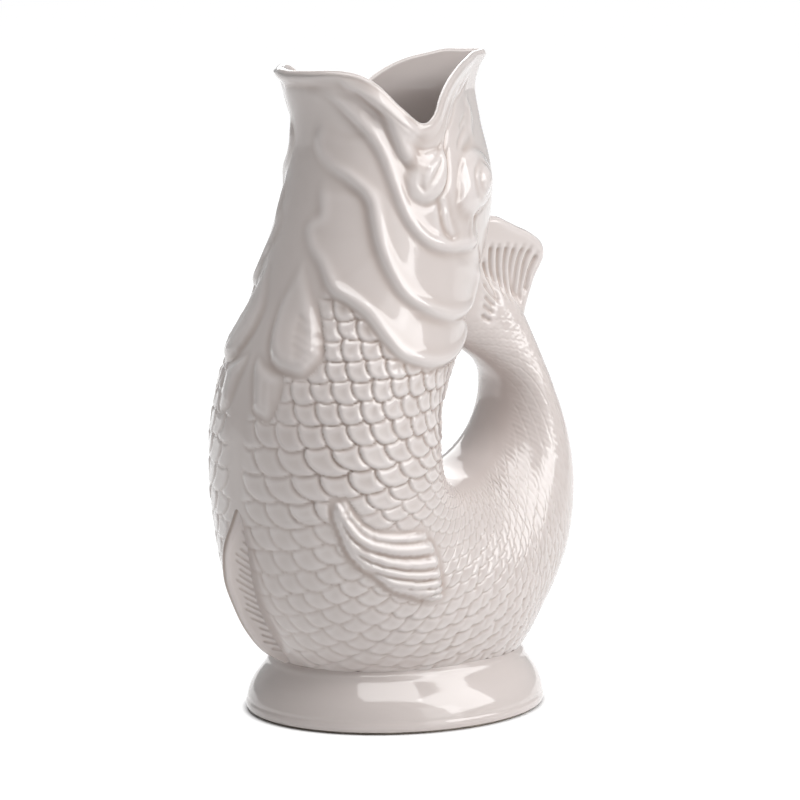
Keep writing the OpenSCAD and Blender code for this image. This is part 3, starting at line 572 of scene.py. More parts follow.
# The scales fade out at the belly line, the back line, the tail's end and the pieces beside them
front_edge = np.interp(S, [4, 5.8, 6.2, 8.5, 9.5, 10.5, 11.5, 12.5, 14], [30, 24, 6, 1, 3, 6, 10, 8, 0])
scale_w = smoothstep(S, 4.2, 5.0) * smoothstep(A - front_edge, 0, 7)
scale_w *= 1 - smoothstep(A + 0 * S, 146, 158) * smoothstep(S, 8.5, 10)
scale_w *= np.where(S > 18, 1 - smoothstep(base[..., 2], 146, 151), 1)
scale_w *= 1 - smoothstep(S, 22.0, 22.8)
free = ~(inner_in | middle_in | outer_in | pect_in | leaf_in | fan_in)
EDGE_ROOM = 1.5
edge_room = 1
for gap in (pect_gap, leaf_gap, fan_gap, outer_gap):
    edge_room = edge_room * smoothstep(gap, 0, EDGE_ROOM)
faint = np.interp(A, [0, 25, 50, 180], [0.4, 0.5, 1, 1])
faint = np.where(S > 8.6, np.interp(A, [0, 40, 80, 180], [0.4, 0.5, 0.85, 1]), faint)
amount = np.interp(S, [5, 8, 9, 10.5, 12, 15, 17, 23], [1.5, 1.6, 1.4, 1.15, 1.15, 1.2, 1.0, 0.8])
amount *= np.where(S < 12, faint, 1)
scales = np.where(free, scale_w * edge_room * amount * (scale_h - SCALE_SINK), 0)


def plane_dents(p, dents):
    """Depth of dents drawn in the middle plane, at points (x, z)."""
    depth_sum = np.zeros(p.shape[:-1])
    for line, depth, width in dents:
        gap, share = nearest(p, curve(line, steps=5), NO_LINE)
        depth_sum += stroke(gap, share, depth, width, 0.15, 0.3)
    return depth_sum


TAIL_DENTS = [(line, 1.35, 1.1) for line in (
    [(43.7, 172.7), (43.3, 165.1), (44.6, 157.3)], [(47.4, 172.1), (47.0, 164.8), (47.9, 153.1)],
    [(51.4, 172.1), (50.2, 164.5), (51.1, 150.9)], [(55.1, 171.5), (53.1, 163.0), (54.4, 151.3)],
    [(59.6, 171.2), (56.7, 165.3), (55.2, 156.4), (56.0, 151.1)],
    [(62.9, 170.3), (60.0, 165.0), (58.4, 157.4), (56.8, 149.8)],
    [(66.2, 167.7), (62.5, 161.6), (60.1, 153.4)], [(40.1, 167.3), (41.3, 160.1), (43.8, 153.5)],
    [(37.3, 159.8), (40.5, 155.0), (43.8, 152.2)], [(36.5, 154.7), (40.6, 150.5)],
    [(35.3, 151.3), (39.8, 148.0)], [(34.5, 147.2), (38.2, 145.0)])]
UPPER_TAIL = 18.5
TAIL_DENT_SHARE = 0.8  # depth of the dents on the tail, as a share of those on its fin
upper_tail = S > UPPER_TAIL
height[upper_tail] -= TAIL_DENT_SHARE * plane_dents(base[..., [0, 2]][upper_tail], TAIL_DENTS)

# Fade all relief out at the rim, add the rim's bead, and keep the tail inside the solids' box
RIM_BEAD, RIM_BEAD_AT, RIM_DIP, RIM_DIP_AT = 0.9, 2.2, 0.3, 6.2
TAIL_DROP = 1.2 * FACET_SAG
# Smoothing passes for the pool value, painted shade on the tail's inner side, painted light on the
# mouth's inner wall
POOL_AND_SHADE_PASSES, TAIL_GAP_SHADE, MOUTH_PAINTED_LIGHT = 14, 0.05, 0.06
below_rim = rim_z(A) - base[..., 2] + np.where(S > NECK, NO_LINE, 0)
height *= smoothstep(below_rim, 1.5, 6)
scales = scales + (soften(scales, 3) - scales) * smoothstep(S, 15, 17)
height = soften(height) + scales
rim_bead = RIM_BEAD * bell(below_rim - RIM_BEAD_AT, 2.0) - RIM_DIP * bell(below_rim - RIM_DIP_AT, 1.6)
height += rim_bead * smoothstep(below_rim, 0, 1.6) * (1 - 0.6 * smoothstep(A, 60, 95))
height -= TAIL_DROP * smoothstep(S, 12, 15.5)
outer = base + normal * height[..., None]
outer_n = grid_normals(outer, row_start) * NORMAL_SIGN
# Glaze pools where the surface is lower than round about, and is drawn thin where it stands up; the
# value that follows also darkens the hollows with painted shade
pool_and_shade = height - soften(height, POOL_AND_SHADE_PASSES)
# Painted shade: the inner side of the tail, facing the handle's gap, is made darker
pool_and_shade = pool_and_shade - TAIL_GAP_SHADE * smoothstep(A, 130, 155) * smoothstep(S, 16, 17.5)


# Meshes
def placed(name, data):
    """A new object in the scene."""
    obj = bpy.data.objects.new(name, data)
    scene.collection.objects.link(obj)
    return obj


TURNED = [0, 3, 2, 1]  # order of a face's corners when it is turned over


class Build:
    """Collects points, normals, values of pooling and painted shade, and faces of one piece."""

    def __init__(self):
        self.p, self.n, self.c, self.f, self.count = [], [], [], [], 0

    def points(self, p, n, c=0.0):
        """Adds a grid of points and returns their indices."""
        shape = p.shape[:-1]
        k = int(np.prod(shape))
        self.p.append(p.reshape(-1, 3))
        self.n.append(np.broadcast_to(n, p.shape).reshape(-1, 3))
        self.c.append(np.broadcast_to(c, shape).reshape(-1))
        idx = np.arange(self.count, self.count + k).reshape(shape)
        self.count += k
        return idx

    def quads(self, idx, mask=None, flip=False):
        q4 = np.stack([idx[:-1, :-1], idx[:-1, 1:], idx[1:, 1:], idx[1:, :-1]], -1)
        q4 = q4.reshape(-1, 4) if mask is None else q4[mask]
        self.f.append(q4[:, TURNED] if flip else q4)

    def zip(self, a, b, flip=False):
        """Band of triangles between two rows of indices that run side by side."""
        i = j = 0
        out = []
        last_i, last_j = len(a) - 1, len(b) - 1
        while i < last_i or j < last_j:
            if j == last_j or (i < last_i and (i + 1) / last_i <= (j + 1) / last_j):
                out.append((a[i], b[j], a[i + 1], a[i + 1]))
                i += 1
            else:
                out.append((a[i], b[j], b[j + 1], b[j + 1]))
                j += 1
        out = np.array(out)
        self.f.append(out[:, [0, 2, 1, 1]] if flip else out)

    def mirrored(self):
        """Adds the mirror image of all that is in the piece so far."""
        for parts, flip in ((self.p, MIRROR), (self.n, MIRROR), (self.c, 1)):
            parts.append(np.concatenate(parts) * flip)
        self.f += [(faces + self.count)[:, TURNED] for faces in self.f]
        self.count *= 2

    def done(self, name, material, node_slot, nodes, mirror=False):
        """Makes the piece's object, which stands for its nodes."""
        p, n, c, f = [np.concatenate(parts) for parts in (self.p, self.n, self.c, self.f)]
        if mirror:
            p, n, f = p * MIRROR, n * MIRROR, f[:, TURNED]
        p[np.abs(p[:, 1]) < 1e-4, 1] = 0
        key, first, back = np.unique(np.round(p, 3) + 0.0, axis=0, return_index=True,
                                     return_inverse=True)
        back = back.reshape(-1)
        total = np.zeros((len(key), 3))
        np.add.at(total, back, n)
        total = unit(total)
        verts, shade = p[first], c[first]
        f = back[f]
        tris = np.concatenate([f[:, [0, 1, 2]], f[:, [0, 2, 3]]])
        ok = (tris[:, 0] != tris[:, 1]) & (tris[:, 1] != tris[:, 2]) & (tris[:, 0] != tris[:, 2])
        tris = tris[ok]
        _, which, copies = np.unique(np.sort(tris, axis=1), axis=0, return_inverse=True,
                                     return_counts=True)
        tris = tris[copies[which.reshape(-1)] == 1]
        a, b, d = verts[tris[:, 0]], verts[tris[:, 1]], verts[tris[:, 2]]
        if np.einsum("ij,ij->i", a, np.cross(b, d)).sum() < 0:
            tris = tris[:, ::-1]
        used = np.unique(tris)
        remap = np.zeros(len(verts), int)
        remap[used] = np.arange(len(used))
        verts, shade, total, tris = verts[used], shade[used], total[used], remap[tris]
        mesh = bpy.data.meshes.new(name)
        mesh.vertices.add(len(verts))
        mesh.vertices.foreach_set("co", (verts * MM).astype(np.float32).ravel())
        mesh.loops.add(len(tris) * 3)
        mesh.loops.foreach_set("vertex_index", tris.astype(np.int32).ravel())
        mesh.polygons.add(len(tris))
        mesh.polygons.foreach_set("loop_start", np.arange(0, len(tris) * 3, 3, dtype=np.int32))
        mesh.update(calc_edges=True)
        mesh.polygons.foreach_set("use_smooth", np.ones(len(tris), bool))
        layer = mesh.attributes.new("pool_and_shade", "FLOAT", "POINT")
        layer.data.foreach_set("value", shade.astype(np.float32))
        mesh.normals_split_custom_set_from_vertices([tuple(x) for x in total])
        mesh.materials.append(material)
        obj = placed(name + "_visual", mesh)
        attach(obj, "root")
        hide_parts(*nodes)


# Materials
def node_material(name):
    mat = bpy.data.materials.new(name)
    mat.use_nodes = True
    tree = mat.node_tree
    return mat, tree, tree.nodes["Principled BSDF"]


def connect(tree, node, inputs):
    """Sets a node's inputs, each to a value or to another node's output."""
    for name, value in inputs.items():
        if isinstance(value, bpy.types.NodeSocket):
            tree.links.new(value, node.inputs[name])
        else:
            node.inputs[name].default_value = value


def add_node(tree, kind, inputs, **settings):
    node = tree.nodes.new(kind)
    for name, value in settings.items():
        setattr(node, name, value)
    connect(tree, node, inputs)
    return node


def noise(tree, place, scale, detail, roughness):
    inputs = {"Vector": place, "Scale": scale, "Detail": detail, "Roughness": roughness}
    return add_node(tree, "ShaderNodeTexNoise", inputs).outputs["Fac"]


def mapped(tree, value, low, high, to_low=0, to_high=1):
    """A value carried from the range low to high over to another range, and held to its ends."""
    inputs = {"Value": value, "From Min": low, "From Max": high, "To Min": to_low, "To Max": to_high}
    return add_node(tree, "ShaderNodeMapRange", inputs).outputs["Result"]


def mixed(tree, share, a, b):
    """A colour between a and b."""
    inputs = {"Factor": share, "A": a, "B": b}
    return add_node(tree, "ShaderNodeMix", inputs, data_type="RGBA").outputs["Result"]


def bumped(tree, field, strength, depth):
    inputs = {"Height": field, "Strength": strength, "Distance": depth}
    return add_node(tree, "ShaderNodeBump", inputs).outputs["Normal"]


def worked_out(tree, operation, a, b):
    """The result of a sum on two numbers."""
    return add_node(tree, "ShaderNodeMath", {0: a, 1: b}, operation=operation).outputs[0]


def blended(tree, share, a, b):
    return add_node(tree, "ShaderNodeMixShader", {0: share, 1: a, 2: b}).outputs["Shader"]


def srgb(r, g, b):
    def linear(c):
        return ((c / 255 + 0.055) / 1.055) ** 2.4 if c > 10 else c / 255 / 12.92
    return linear(r), linear(g), linear(b), 1


# Glaze colours: the deep one, for hollows, stands for glaze pooling and painted shade; the thin one is
# for raised parts; the cloud one is random tone
GLAZE_POOLED_AND_SHADED, GLAZE_THIN, GLAZE_CLOUD = srgb(170, 151, 140), srgb(221, 213, 210), srgb(214, 203, 199)
POOL_DEEP_AND_SHADED, POOL_THIN = -0.55, 0.15
CLOUD_LOW, CLOUD_HIGH, CLOUD_SHARE = 0.3, 0.7, 0.35
CLAY_DARK, CLAY_PALE = srgb(196, 184, 170), srgb(214, 204, 192)


def make_glaze():
    mat, tree, shader = node_material("glaze")
    place = add_node(tree, "ShaderNodeTexCoord", {}).outputs["Object"]
    shade_and_pooling = add_node(tree, "ShaderNodeAttribute", {}, attribute_name="pool_and_shade").outputs["Fac"]
    cloud = noise(tree, place, 22.0, 3.0, 0.55)
    # Painted shade: the pool value darkens the glaze in hollows, along with real pooling, and lightens
    # it where the relief stands up
    shade_tint = mixed(tree, mapped(tree, shade_and_pooling, POOL_DEEP_AND_SHADED, POOL_THIN), GLAZE_POOLED_AND_SHADED, GLAZE_THIN)
    cloudy = mapped(tree, cloud, CLOUD_LOW, CLOUD_HIGH, 0, CLOUD_SHARE)
    ripple = noise(tree, place, 85.0, 1.5, 0.4)
    connect(tree, shader, {
        "Base Color": mixed(tree, cloudy, shade_tint, GLAZE_CLOUD),
        "Roughness": mapped(tree, cloud, CLOUD_LOW, CLOUD_HIGH, 0.07, 0.13),
        "Normal": bumped(tree, ripple, 0.12, 0.0006),
        "IOR": 1.52, "Coat Weight": 0.55, "Coat Roughness": 0.03})
    return mat


def make_clay():
    mat, tree, shader = node_material("bare_clay")
    place = add_node(tree, "ShaderNodeTexCoord", {}).outputs["Object"]
    grain = noise(tree, place, 900.0, 4.0, 0.6)
    connect(tree, shader, {
        "Base Color": mixed(tree, grain, CLAY_DARK, CLAY_PALE),
        "Roughness": mapped(tree, grain, 0, 1, 0.75, 0.95),
        "Normal": bumped(tree, grain, 0.3, 0.0003)})
    return mat


glaze = make_glaze()
clay = make_clay()

# Relief pieces: closed lenses whose top is the true surface
LENS_T, SHELL_DROP = 0.6, 1.0
quad_s = (S[:-1, :-1] + S[1:, 1:]) / 2
quad_a = (A[:-1, :-1] + A[1:, 1:]) / 2


def core(mask):
    """Grid points whose four quads are all in the mask."""
    wide = np.pad(mask, 1)
    return wide[:-1, :-1] & wide[1:, :-1] & wide[:-1, 1:] & wide[1:, 1:]


def cleaned(mask):
    """Drops the parts of a mask that are too thin for a lens."""
    for _ in range(2):
        c = core(mask)
        full = np.pad(c[:-1, :-1] & c[1:, :-1] & c[:-1, 1:] & c[1:, 1:], 1)
        wide = full[:-2] | full[1:-1] | full[2:]
        mask = mask & (wide[:, :-2] | wide[:, 1:-1] | wide[:, 2:])
    return mask


inner_line = np.concatenate([curve(INNER_EDGE), curve(INNER_TOP)])
middle_line = np.concatenate([curve(MIDDLE_EDGE), curve(INNER_EDGE)[::-1]])
outer_line = np.concatenate([curve(OUTER_EDGE), curve(MIDDLE_EDGE[:15])[::-1]])
taken = np.zeros(quad_s.shape, bool)
lowered = np.zeros(S.shape, bool)
for name, line in (
        ("eyeball", curve(EYE, True)), ("eye_ring", curve(EYE_BAG, True)),
        ("jaw_lobe", curve(JAW, True)), ("pectoral_fin", curve(PECTORAL, True)),
        ("inner_gill", inner_line), ("middle_gill", middle_line), ("outer_gill", outer_line),
        ("lower_fin", curve(LOWER_LEAF, True)), ("pelvic_fin", curve(PELVIC, True))):
    mask = cleaned(inside(line, quad_s, quad_a) & ~taken)
    taken |= mask
    deep = core(mask)
    lowered |= deep
    box, part = window(mask, 0, 1), mask[window(mask, 0, 0)]
    for side, mirror in (("left", False), ("right", True)):
        b = Build()
        top = b.points(outer[box], outer_n[box], pool_and_shade[box])
        sunk = outer[box] - outer_n[box] * (LENS_T * deep[box])[..., None]
        under = b.points(sunk, outer_n[box] * 0, pool_and_shade[box])
        b.quads(top, part)
        b.quads(under, part, True)
        b.done(f"{name}_{side}", glaze, "glaze", [f"{name}_{side}"], mirror)

shell = outer - outer_n * (SHELL_DROP * lowered)[..., None]

# Shells
INNER_COLS = 52
RIM_STEPS, MOUTH_ROWS, TRUNK_INNER, TAIL_INNER, CAP_STEPS = 12, 60, 25, 40, 8
INNER_PLAIN, INNER_OPEN = 14, 30  # the belly's inner rows on each side of the foot, and over it
FOOT_JOINT = slice(BELLY_ROWS, BELLY_ROWS + OPEN_ROWS + 1)
INNER_JOINT = slice(INNER_PLAIN, INNER_PLAIN + INNER_OPEN + 1)
inner_angle = np.linspace(0, 180, INNER_COLS + 1)


def whole(b, name):
    """Adds the right half of a glazed piece and makes its object."""
    b.mirrored()
    b.done(name, glaze, "glaze", [name])


def outer_wall(rows):
    """A piece that starts with the outer rows of a shell, and their indices."""
    b = Build()
    idx = b.points(shell[rows], outer_n[rows], pool_and_shade[rows])
    b.quads(idx)
    return b, idx


# Head: outer, rolled rim and inner wall share their columns
b, idx = outer_wall(slice(0, row_neck + 1))
turn = np.linspace(0, math.pi, RIM_STEPS + 1)[1:-1, None]
rim_off = RIM_T / 2 * (np.cos(turn) - 1)
rim = skin(np.broadcast_to(top_station, (RIM_STEPS - 1, COLS + 1)), col_angle, rim_off)
rim[..., 2] += RIM_T / 2 * np.sin(turn)
out_dir = unit(outer_n[0][None] * FLAT, 0)
rim_n = out_dir * np.cos(turn)[..., None] + UP * np.sin(turn)[..., None]
v_in = np.linspace(1, 0, MOUTH_ROWS + 1)[:, None]
s_in = NECK + (top_station[None, :] - NECK) * v_in
wall = skin(s_in, col_angle + 0 * s_in, -WALL_T + (WALL_T - RIM_T) * v_in ** 2)
wall_n = -grid_normals(wall) * NORMAL_SIGN
# Painted light: the mouth's inner wall below the rim gets the lightest glaze colour, brighter than its
# light alone makes it
wall_painted_light = MOUTH_PAINTED_LIGHT * smoothstep(1 - v_in, 0.02, 0.12) + 0 * wall[..., 0]
loop = b.points(np.concatenate([rim, wall]), np.concatenate([rim_n, wall_n]),
                np.concatenate([0 * rim[..., 0], wall_painted_light]))
b.quads(np.concatenate([idx[:1], loop]), flip=True)
b.quads(np.stack([loop[-1], idx[-1]]), flip=True)
whole(b, "head_shell")


def plain_shell(rows, stations, start_in=None):
    """Outer rows of a shell, a coarser wall inside, and the band that joins their first rows."""
    b, idx = outer_wall(rows)
    a_in = inner_angle if start_in is None else open_angles(start_in, inner_angle)
    p = skin(stations[:, None] + 0 * inner_angle, a_in + 0 * stations[:, None], -WALL_T)
    inner = b.points(p, -grid_normals(p) * NORMAL_SIGN)
    b.quads(inner, flip=True)
    b.zip(idx[0], inner[0], flip=True)
    return b, idx, inner


b, idx, inner = plain_shell(slice(row_neck, row_waist + 1), np.linspace(NECK, WAIST, TRUNK_INNER))
b.zip(idx[-1], inner[-1])
whole(b, "trunk_shell")

in_s, in_start = belly_rows(-WALL_T, INNER_PLAIN, INNER_OPEN, INNER_PLAIN)
b, idx, inner = plain_shell(slice(row_waist, row_tail + 1), in_s, in_start)
b.zip(idx[-1], inner[-1])
b.zip(idx[FOOT_JOINT, 0], inner[INNER_JOINT, 0])
whole(b, "belly_shell")

# Tail: both of its walls close to a point
b, idx, inner = plain_shell(slice(row_tail, row_last + 1), np.linspace(TAIL, HOLLOW, TAIL_INNER))
end_p = outer[row_last]
middle_end = (end_p[0] + end_p[-1]) / 2
cap_f = np.linspace(1, 0, CAP_STEPS + 1)[1:, None, None]
axis = unit(np.cross(end_p[0] - end_p[-1], [0, 1, 0]), 0)
cap = middle_end + (end_p[None] - middle_end) * cap_f
b.quads(np.concatenate([idx[-1:], b.points(cap, -axis)]))
in_points = skin(np.full(INNER_COLS + 1, HOLLOW), inner_angle, -WALL_T)
in_middle = np.broadcast_to((in_points[0] + in_points[-1]) / 2, in_points.shape)
b.quads(np.stack([inner[-1], b.points(in_middle, axis)]), flip=True)
whole(b, "tail_shell")

# Foot: a fine flared profile between the belly's joint and the flat underside
waist = skin(belly_s[FOOT_JOINT], belly_start[FOOT_JOINT], 0, False)
in_s, in_start = belly_rows(-WALL_T, BELLY_ROWS, OPEN_ROWS, REAR_ROWS)
waist_in = skin(in_s[FOOT_JOINT], in_start[FOOT_JOINT], -WALL_T, False)


def flat_dir(p):
    return unit(p * FLAT)


def oval(p, by=0.0):
    l, w = FOOT_L / 2 - by, FOOT_W / 2 - by
    t = np.arctan2(p[:, 1] / w, p[:, 0] / l)
    return np.stack([l * np.cos(t), w * np.sin(t), 0 * t], -1)


def foot_outline(spread, by=0.0):
    """Outline between the belly's joint and the foot's oval, drawn in by a length."""
    flat = waist * FLAT
    return flat + (oval(waist, by) - flat) * spread


def foot_z(share):
    return RING_H + (FOOT_H - RING_H) * share


def foot_bead(z):
    """How far the roll under the belly, the groove above the ring and its edge stand out."""
    return 0.45 * bell(z - 20.3, 1.3) - 0.2 * bell(z - 4.6, 0.7) + 0.1 * bell(z - 2.8, 1.2)


FLARE_ROWS = 64
foot_rows = []
for z_share, spread in along(FLARE_SHARES, np.linspace(0, 1, FLARE_ROWS) * (len(FLARE_SHARES) - 1)):
    z = foot_z(z_share)
    foot_rows.append(foot_outline(spread, FACET_SAG) + flat_dir(waist) * foot_bead(z) + [0, 0, z])
foot_out = np.array(foot_rows)
foot_n = unit(np.cross(np.gradient(foot_out, axis=1), np.gradient(foot_out, axis=0)))
middle = (FLARE_ROWS // 2, OPEN_ROWS // 2)
if foot_n[middle] @ flat_dir(foot_out[middle]) < 0:
    foot_n = -foot_n
b = Build()
b.quads(b.points(foot_out, foot_n))
edge = foot_out[0] - flat_dir(foot_out[0]) * RING_INSET / 2
recess = edge - flat_dir(edge) * (RING_INSET + RING_W)
recess_top = recess - flat_dir(recess) * (RECESS_H - RING_H) + UP * (RECESS_H - RING_H)
under = b.points(np.array([foot_out[0], edge, recess, recess_top, recess_top * UP]), -1.0 * UP)
b.quads(under, flip=True)


def cavity_ring(z_share, spread):
    ring = foot_outline(spread)
    return ring - flat_dir(ring) * WALL_T + [0, 0, foot_z(z_share)]


low_ring = cavity_ring(0.55, 0.60)
floor_edge = (low_ring - flat_dir(low_ring) * WALL_T / 2) * FLAT + [0, 0, RECESS_H + FLOOR_T]
inside_rows = np.array([foot_out[-1], waist_in, cavity_ring(0.80, 0.25), low_ring, floor_edge,
                        floor_edge * UP])
b.quads(b.points(inside_rows, -flat_dir(inside_rows) + [0, 0, 0.3]))
whole(b, "foot")

# Bare ring with softened edges
RING_STEPS, SOFT = 240, 0.35
b = Build()
turn = np.linspace(0, 2 * math.pi, RING_STEPS + 1)
ring_profile = [(0, RING_H), (0, SOFT), (SOFT, 0), (RING_W - SOFT, 0), (RING_W, SOFT), (RING_W, RING_H)]
rows = []
for inset, z in ring_profile + ring_profile[:1]:
    by = EDGE_INSET + RING_INSET + inset
    half_l, half_w = FOOT_L / 2 - by, FOOT_W / 2 - by
    rows.append(np.stack([half_l * np.cos(turn), half_w * np.sin(turn), z + 0 * turn], -1))
b.quads(b.points(np.array(rows), -1.0 * UP))
b.done("foot_ring", clay, "bare_clay", ["foot_ring"])


# Fins in the middle plane
LEAST_T = 1.5  # dents fade out where a fin's half is thinner than this
FIN_POOL_AND_SHADE_PASSES = 10


def slab(name, root, edge, half_t, dents, cols=60, rows=140):
    """Fin between a root line and an outer edge of (x, z) points, with dents as (line, depth, width)."""
    u, f = np.linspace(0, 1, rows + 1), np.linspace(0, 1, cols + 1)
    r, e = [along(np.array(line, float), u * (len(line) - 1)) for line in (root, edge)]
    p = r[:, None] + (e - r)[:, None] * f[None, :, None]
    gap, _ = nearest(p, e, NO_LINE)
    depth_in = f[None, :] * np.linalg.norm(e - r, axis=1)[:, None]
    t = half_t(depth_in, gap, u[:, None])
    t = np.maximum(t - plane_dents(p, dents) * np.clip(t / LEAST_T, 0, 1), 0)
    t[:, -1] = 0
    side = np.stack([p[..., 0], -t, p[..., 1]], -1)
    n = unit(np.cross(np.gradient(side, axis=1), np.gradient(side, axis=0)))
    if n[rows // 2, cols // 3, 1] > 0:
        n = -n
    b = Build()
    # Pool values from the fin's thickness darken its dents and thin edges with painted shade, along with
    # glaze pooling
    b.quads(b.points(side, n, t - soften(t, FIN_POOL_AND_SHADE_PASSES)))
    flat = side * [1, 0, 1]
    # The open sides at the root and the two ends are closed in the middle plane
    for line, flip in ((np.s_[:, 0], True), (np.s_[0], True), (np.s_[-1], False)):
        b.quads(b.points(np.stack([side[line], flat[line]]), np.array([0, -0.01, 0])), flip=flip)
    whole(b, name)


def root_place(s, a, sink):
    p = skin(s, a, -sink, False)
    return [float(p[0]), float(p[2])]


def fin_round(gap, radius):
    """Rounding of a fin towards its edge, which keeps a little thickness beside it."""
    return roll((gap + 0.02) / radius)


TAIL_EDGE = [(39.5, 184.2), (41.2, 184.3), (45.2, 184.0), (48.9, 183.2), (53.7, 181.0), (58.6, 178.7),
             (63.6, 176.5), (68.0, 173.6), (70.3, 170.3), (70.6, 166.6), (68.8, 162.9), (66.5, 159.4),
             (64.9, 155.8), (63.4, 152.0), (62.0, 148.0), (60.8, 144.0)]
HEAD_SINK, TAIL_SINK, FRONT_SINK, REAR_SINK = 3.5, 8.0, 6.0, 4.5
head_root = [root_place(s, 180, HEAD_SINK) for s in np.linspace(3.72, 4.42, 4)]
tail_root = [root_place(s, 0, TAIL_SINK) for s in np.linspace(22.9, 20.1, 12)]


TAIL_PLATE, TAIL_ROOT, TAIL_ROOT_LOW, TAIL_TAPER, TAIL_ROUND = 3.1, 3.4, 2.0, 6, 3.2


def tail_half(depth_in, gap, u):
    """Half thickness of the tail fin, with a root that is thicker towards its lower end."""
    low_end = np.clip((u - 0.25) / 0.75, 0, 1)
    root = (TAIL_ROOT + TAIL_ROOT_LOW * low_end) * np.exp(-(depth_in / TAIL_TAPER) ** 2)
    return (TAIL_PLATE + root) * fin_round(gap, TAIL_ROUND)


slab("tail_fin", head_root + tail_root, TAIL_EDGE, tail_half, TAIL_DENTS)

FRONT_EDGE = [(-68.6, 94.5), (-71.4, 88.3), (-75.6, 78.6), (-79.0, 70.7), (-79.75, 64.4),
              (-78.9, 56.4), (-75.6, 47.9), (-70.2, 37.7), (-62.5, 28.6), (-52.9, 22.6)]
front_root = [root_place(s, 0, FRONT_SINK) for s in np.linspace(8.4, 11.2, 10)]


KEEL_ROOT = 2  # depth of a keel fin's root at its full thickness


def keel(depth_in, plate, root, taper):
    """Half thickness of a keel fin, which tapers from its root to a plate."""
    return plate + root * np.exp(-np.maximum(depth_in - KEEL_ROOT, 0) / taper)


def front_half(depth_in, gap, u):
    wide = np.sin(np.pi * np.clip(u, 0, 1)) ** 0.5
    return keel(depth_in, 1.6, 8.0, 4.2) * fin_round(gap, 2.0) * (0.45 + 0.55 * wide)


FRONT_DENTS, FRONT_DENT_DEPTH, FRONT_DENT_W, FRONT_DENT_SLANT = 20, 0.45, 0.5, 0.09
front_dents = []
last = len(FRONT_EDGE) - 1
for share in np.linspace(0.1, 0.86, FRONT_DENTS):
    low = along(front_root, (share + FRONT_DENT_SLANT) * last)
    reach = along(FRONT_EDGE, share * last) - low
    wave = 0.06 * math.sin(40 * share)
    line = [low + reach * (0.34 + wave), low + reach * (0.72 + wave)]
    front_dents.append((line, FRONT_DENT_DEPTH, FRONT_DENT_W))
slab("front_fin", front_root, FRONT_EDGE, front_half, front_dents, rows=200)

REAR_EDGE = [(76.6, 44.5), (75.6, 40.5), (73.9, 36.5), (72.0, 32.8), (69.9, 29.7), (67.9, 26.7),
             (66.2, 24.4), (63.9, 21.6), (60.9, 19.6), (57.5, 17.2)]
rear_root = [root_place(s, 0, REAR_SINK) for s in np.linspace(16.4, 15.0, 8)]


def rear_half(depth_in, gap, u):
    return keel(depth_in, 1.5, 4.5, 3.0) * fin_round(gap, 1.8)


slab("rear_fin", rear_root, REAR_EDGE, rear_half, [], cols=24, rows=60)

# Stage, camera and light
CAMERA_AZIMUTH, CAMERA_ELEVATION, CAMERA_FAR, CAMERA_LENS, SENSOR_W = -37, 9.158, 1.7, 202.4, 36
CAMERA_MIDDLE, CAMERA_AIM = Vector((0, 0, 0.125)), Vector((0.0014, -0.0010, 0.117))
JUG_MIDDLE = Vector((0, 0, 0.12))
FLOOR_REACH, FLOOR_COLOUR, WHITE = 3.0, srgb(244, 244, 244), (1, 1, 1, 1)
FLOOR_LEVEL, FLOOR_SHARE, FOOT_INSIDE, FOOT_OUTSIDE = 1.2, 0.8, 0.985, 1.03
WORLD_LEVEL, WORLD_GLOSSY_SHARE = 0.14, 0.45


def around(azimuth, elevation, far, middle):
    a, e = math.radians(azimuth), math.radians(elevation)
    return Vector((math.sin(a) * math.cos(e), -math.cos(a) * math.cos(e), math.sin(e))) * far + middle


def look(obj, place, target):
    obj.location = place
    obj.rotation_euler = (target - place).to_track_quat("-Z", "Y").to_euler()


camera_data = bpy.data.cameras.new("camera")
camera_data.lens = CAMERA_LENS
camera_data.sensor_width = SENSOR_W
camera_data.clip_end = 50
camera = placed("camera", camera_data)
look(camera, around(CAMERA_AZIMUTH, CAMERA_ELEVATION, CAMERA_FAR, CAMERA_MIDDLE), CAMERA_AIM)
bpy.context.scene.camera = camera

# Floor: mostly white to the camera and to reflections, except under the foot, with some shadow kept
floor_mesh = bpy.data.meshes.new("floor")
corners = [(-1, -1), (1, -1), (1, 1), (-1, 1)]
floor_mesh.from_pydata([(x * FLOOR_REACH, y * FLOOR_REACH, 0) for x, y in corners], [], [(0, 1, 2, 3)])
floor = placed("floor", floor_mesh)
floor_mat, tree, shader = node_material("floor")
connect(tree, shader, {"Base Color": FLOOR_COLOUR, "Roughness": 0.6})
floor_mesh.materials.append(floor_mat)
rays = add_node(tree, "ShaderNodeLightPath", {}).outputs
seen = worked_out(tree, "MAXIMUM", rays["Is Camera Ray"], rays["Is Glossy Ray"])
place = add_node(tree, "ShaderNodeNewGeometry", {}).outputs["Position"]
per_foot = (2 / (FOOT_L * MM), 2 / (FOOT_W * MM), 0)
scaled = add_node(tree, "ShaderNodeVectorMath", {0: place, 1: per_foot}, operation="MULTIPLY")
length = add_node(tree, "ShaderNodeVectorMath", {0: scaled.outputs["Vector"]}, operation="LENGTH")
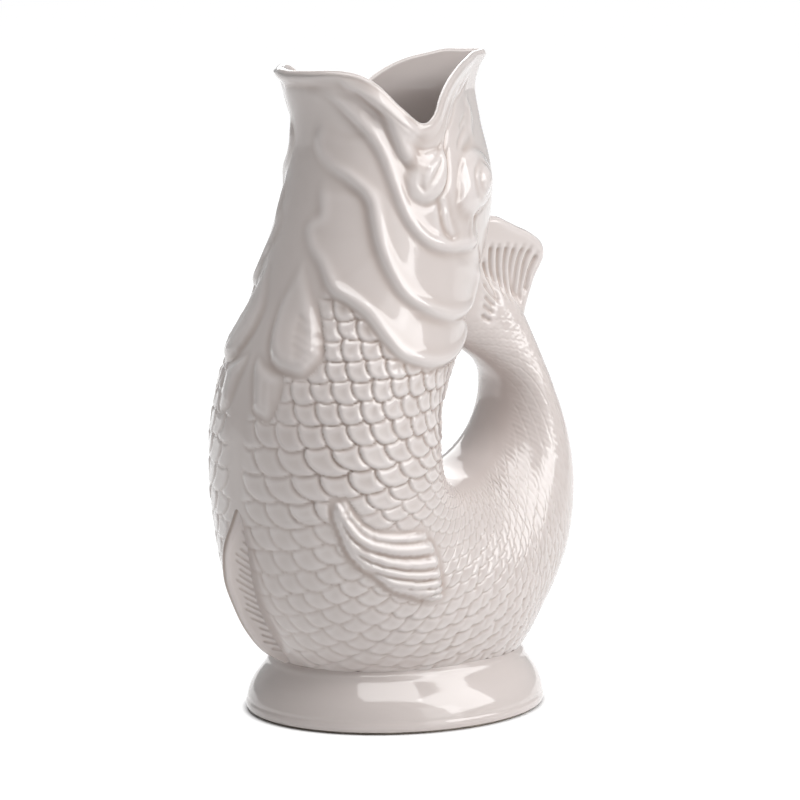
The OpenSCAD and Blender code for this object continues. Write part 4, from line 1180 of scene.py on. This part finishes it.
clear_of_foot = mapped(tree, length.outputs["Value"], FOOT_INSIDE, FOOT_OUTSIDE)
glow = worked_out(tree, "MULTIPLY", worked_out(tree, "MULTIPLY", seen, clear_of_foot), FLOOR_SHARE)
bright = add_node(tree, "ShaderNodeEmission", {"Strength": FLOOR_LEVEL}).outputs["Emission"]
connect(tree, tree.nodes["Material Output"],
        {"Surface": blended(tree, glow, shader.outputs["BSDF"], bright)})
floor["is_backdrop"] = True

# World: dim light on the jug, white to the camera and to transmission, and partly to reflections
world = bpy.data.worlds.new("studio")
scene.world = world
world.use_nodes = True
tree = world.node_tree
dim = tree.nodes["Background"]
connect(tree, dim, {"Color": WHITE, "Strength": WORLD_LEVEL})
sky = add_node(tree, "ShaderNodeBackground", {"Color": WHITE, "Strength": 1.0})
rays = add_node(tree, "ShaderNodeLightPath", {}).outputs
glossy = worked_out(tree, "MULTIPLY", rays["Is Glossy Ray"], WORLD_GLOSSY_SHARE)
clear = worked_out(tree, "MAXIMUM", rays["Is Camera Ray"], glossy)
clear = worked_out(tree, "MAXIMUM", clear, rays["Is Transmission Ray"])
mix = blended(tree, clear, dim.outputs["Background"], sky.outputs["Background"])
connect(tree, tree.nodes["World Output"], {"Surface": mix})

# name, azimuth, elevation, distance, width and height in metres, power in watts
LIGHTS = [
    ("key_light", 36, 36, 1.6, 1.1, 1.1, 13.5), ("side_light", 12, 16, 1.7, 0.8, 1.3, 3.6),
    ("fill_light", -118, 18, 1.6, 0.5, 1.2, 1.6), ("top_light", -20, 70, 1.4, 1.0, 1.0, 9.5),
    ("back_light", 150, 28, 1.7, 1.0, 1.2, 7.0)]
for name, azimuth, elevation, far, width, tall, watts in LIGHTS:
    data = bpy.data.lights.new(name, "AREA")
    data.shape = "RECTANGLE"
    data.size, data.size_y, data.energy = width, tall, watts
    look(placed(name, data), around(azimuth, elevation, far, JUG_MIDDLE), JUG_MIDDLE)
bpy.data.objects["fill_light"].visible_glossy = False

scene.view_settings.view_transform = "Standard"

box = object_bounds()
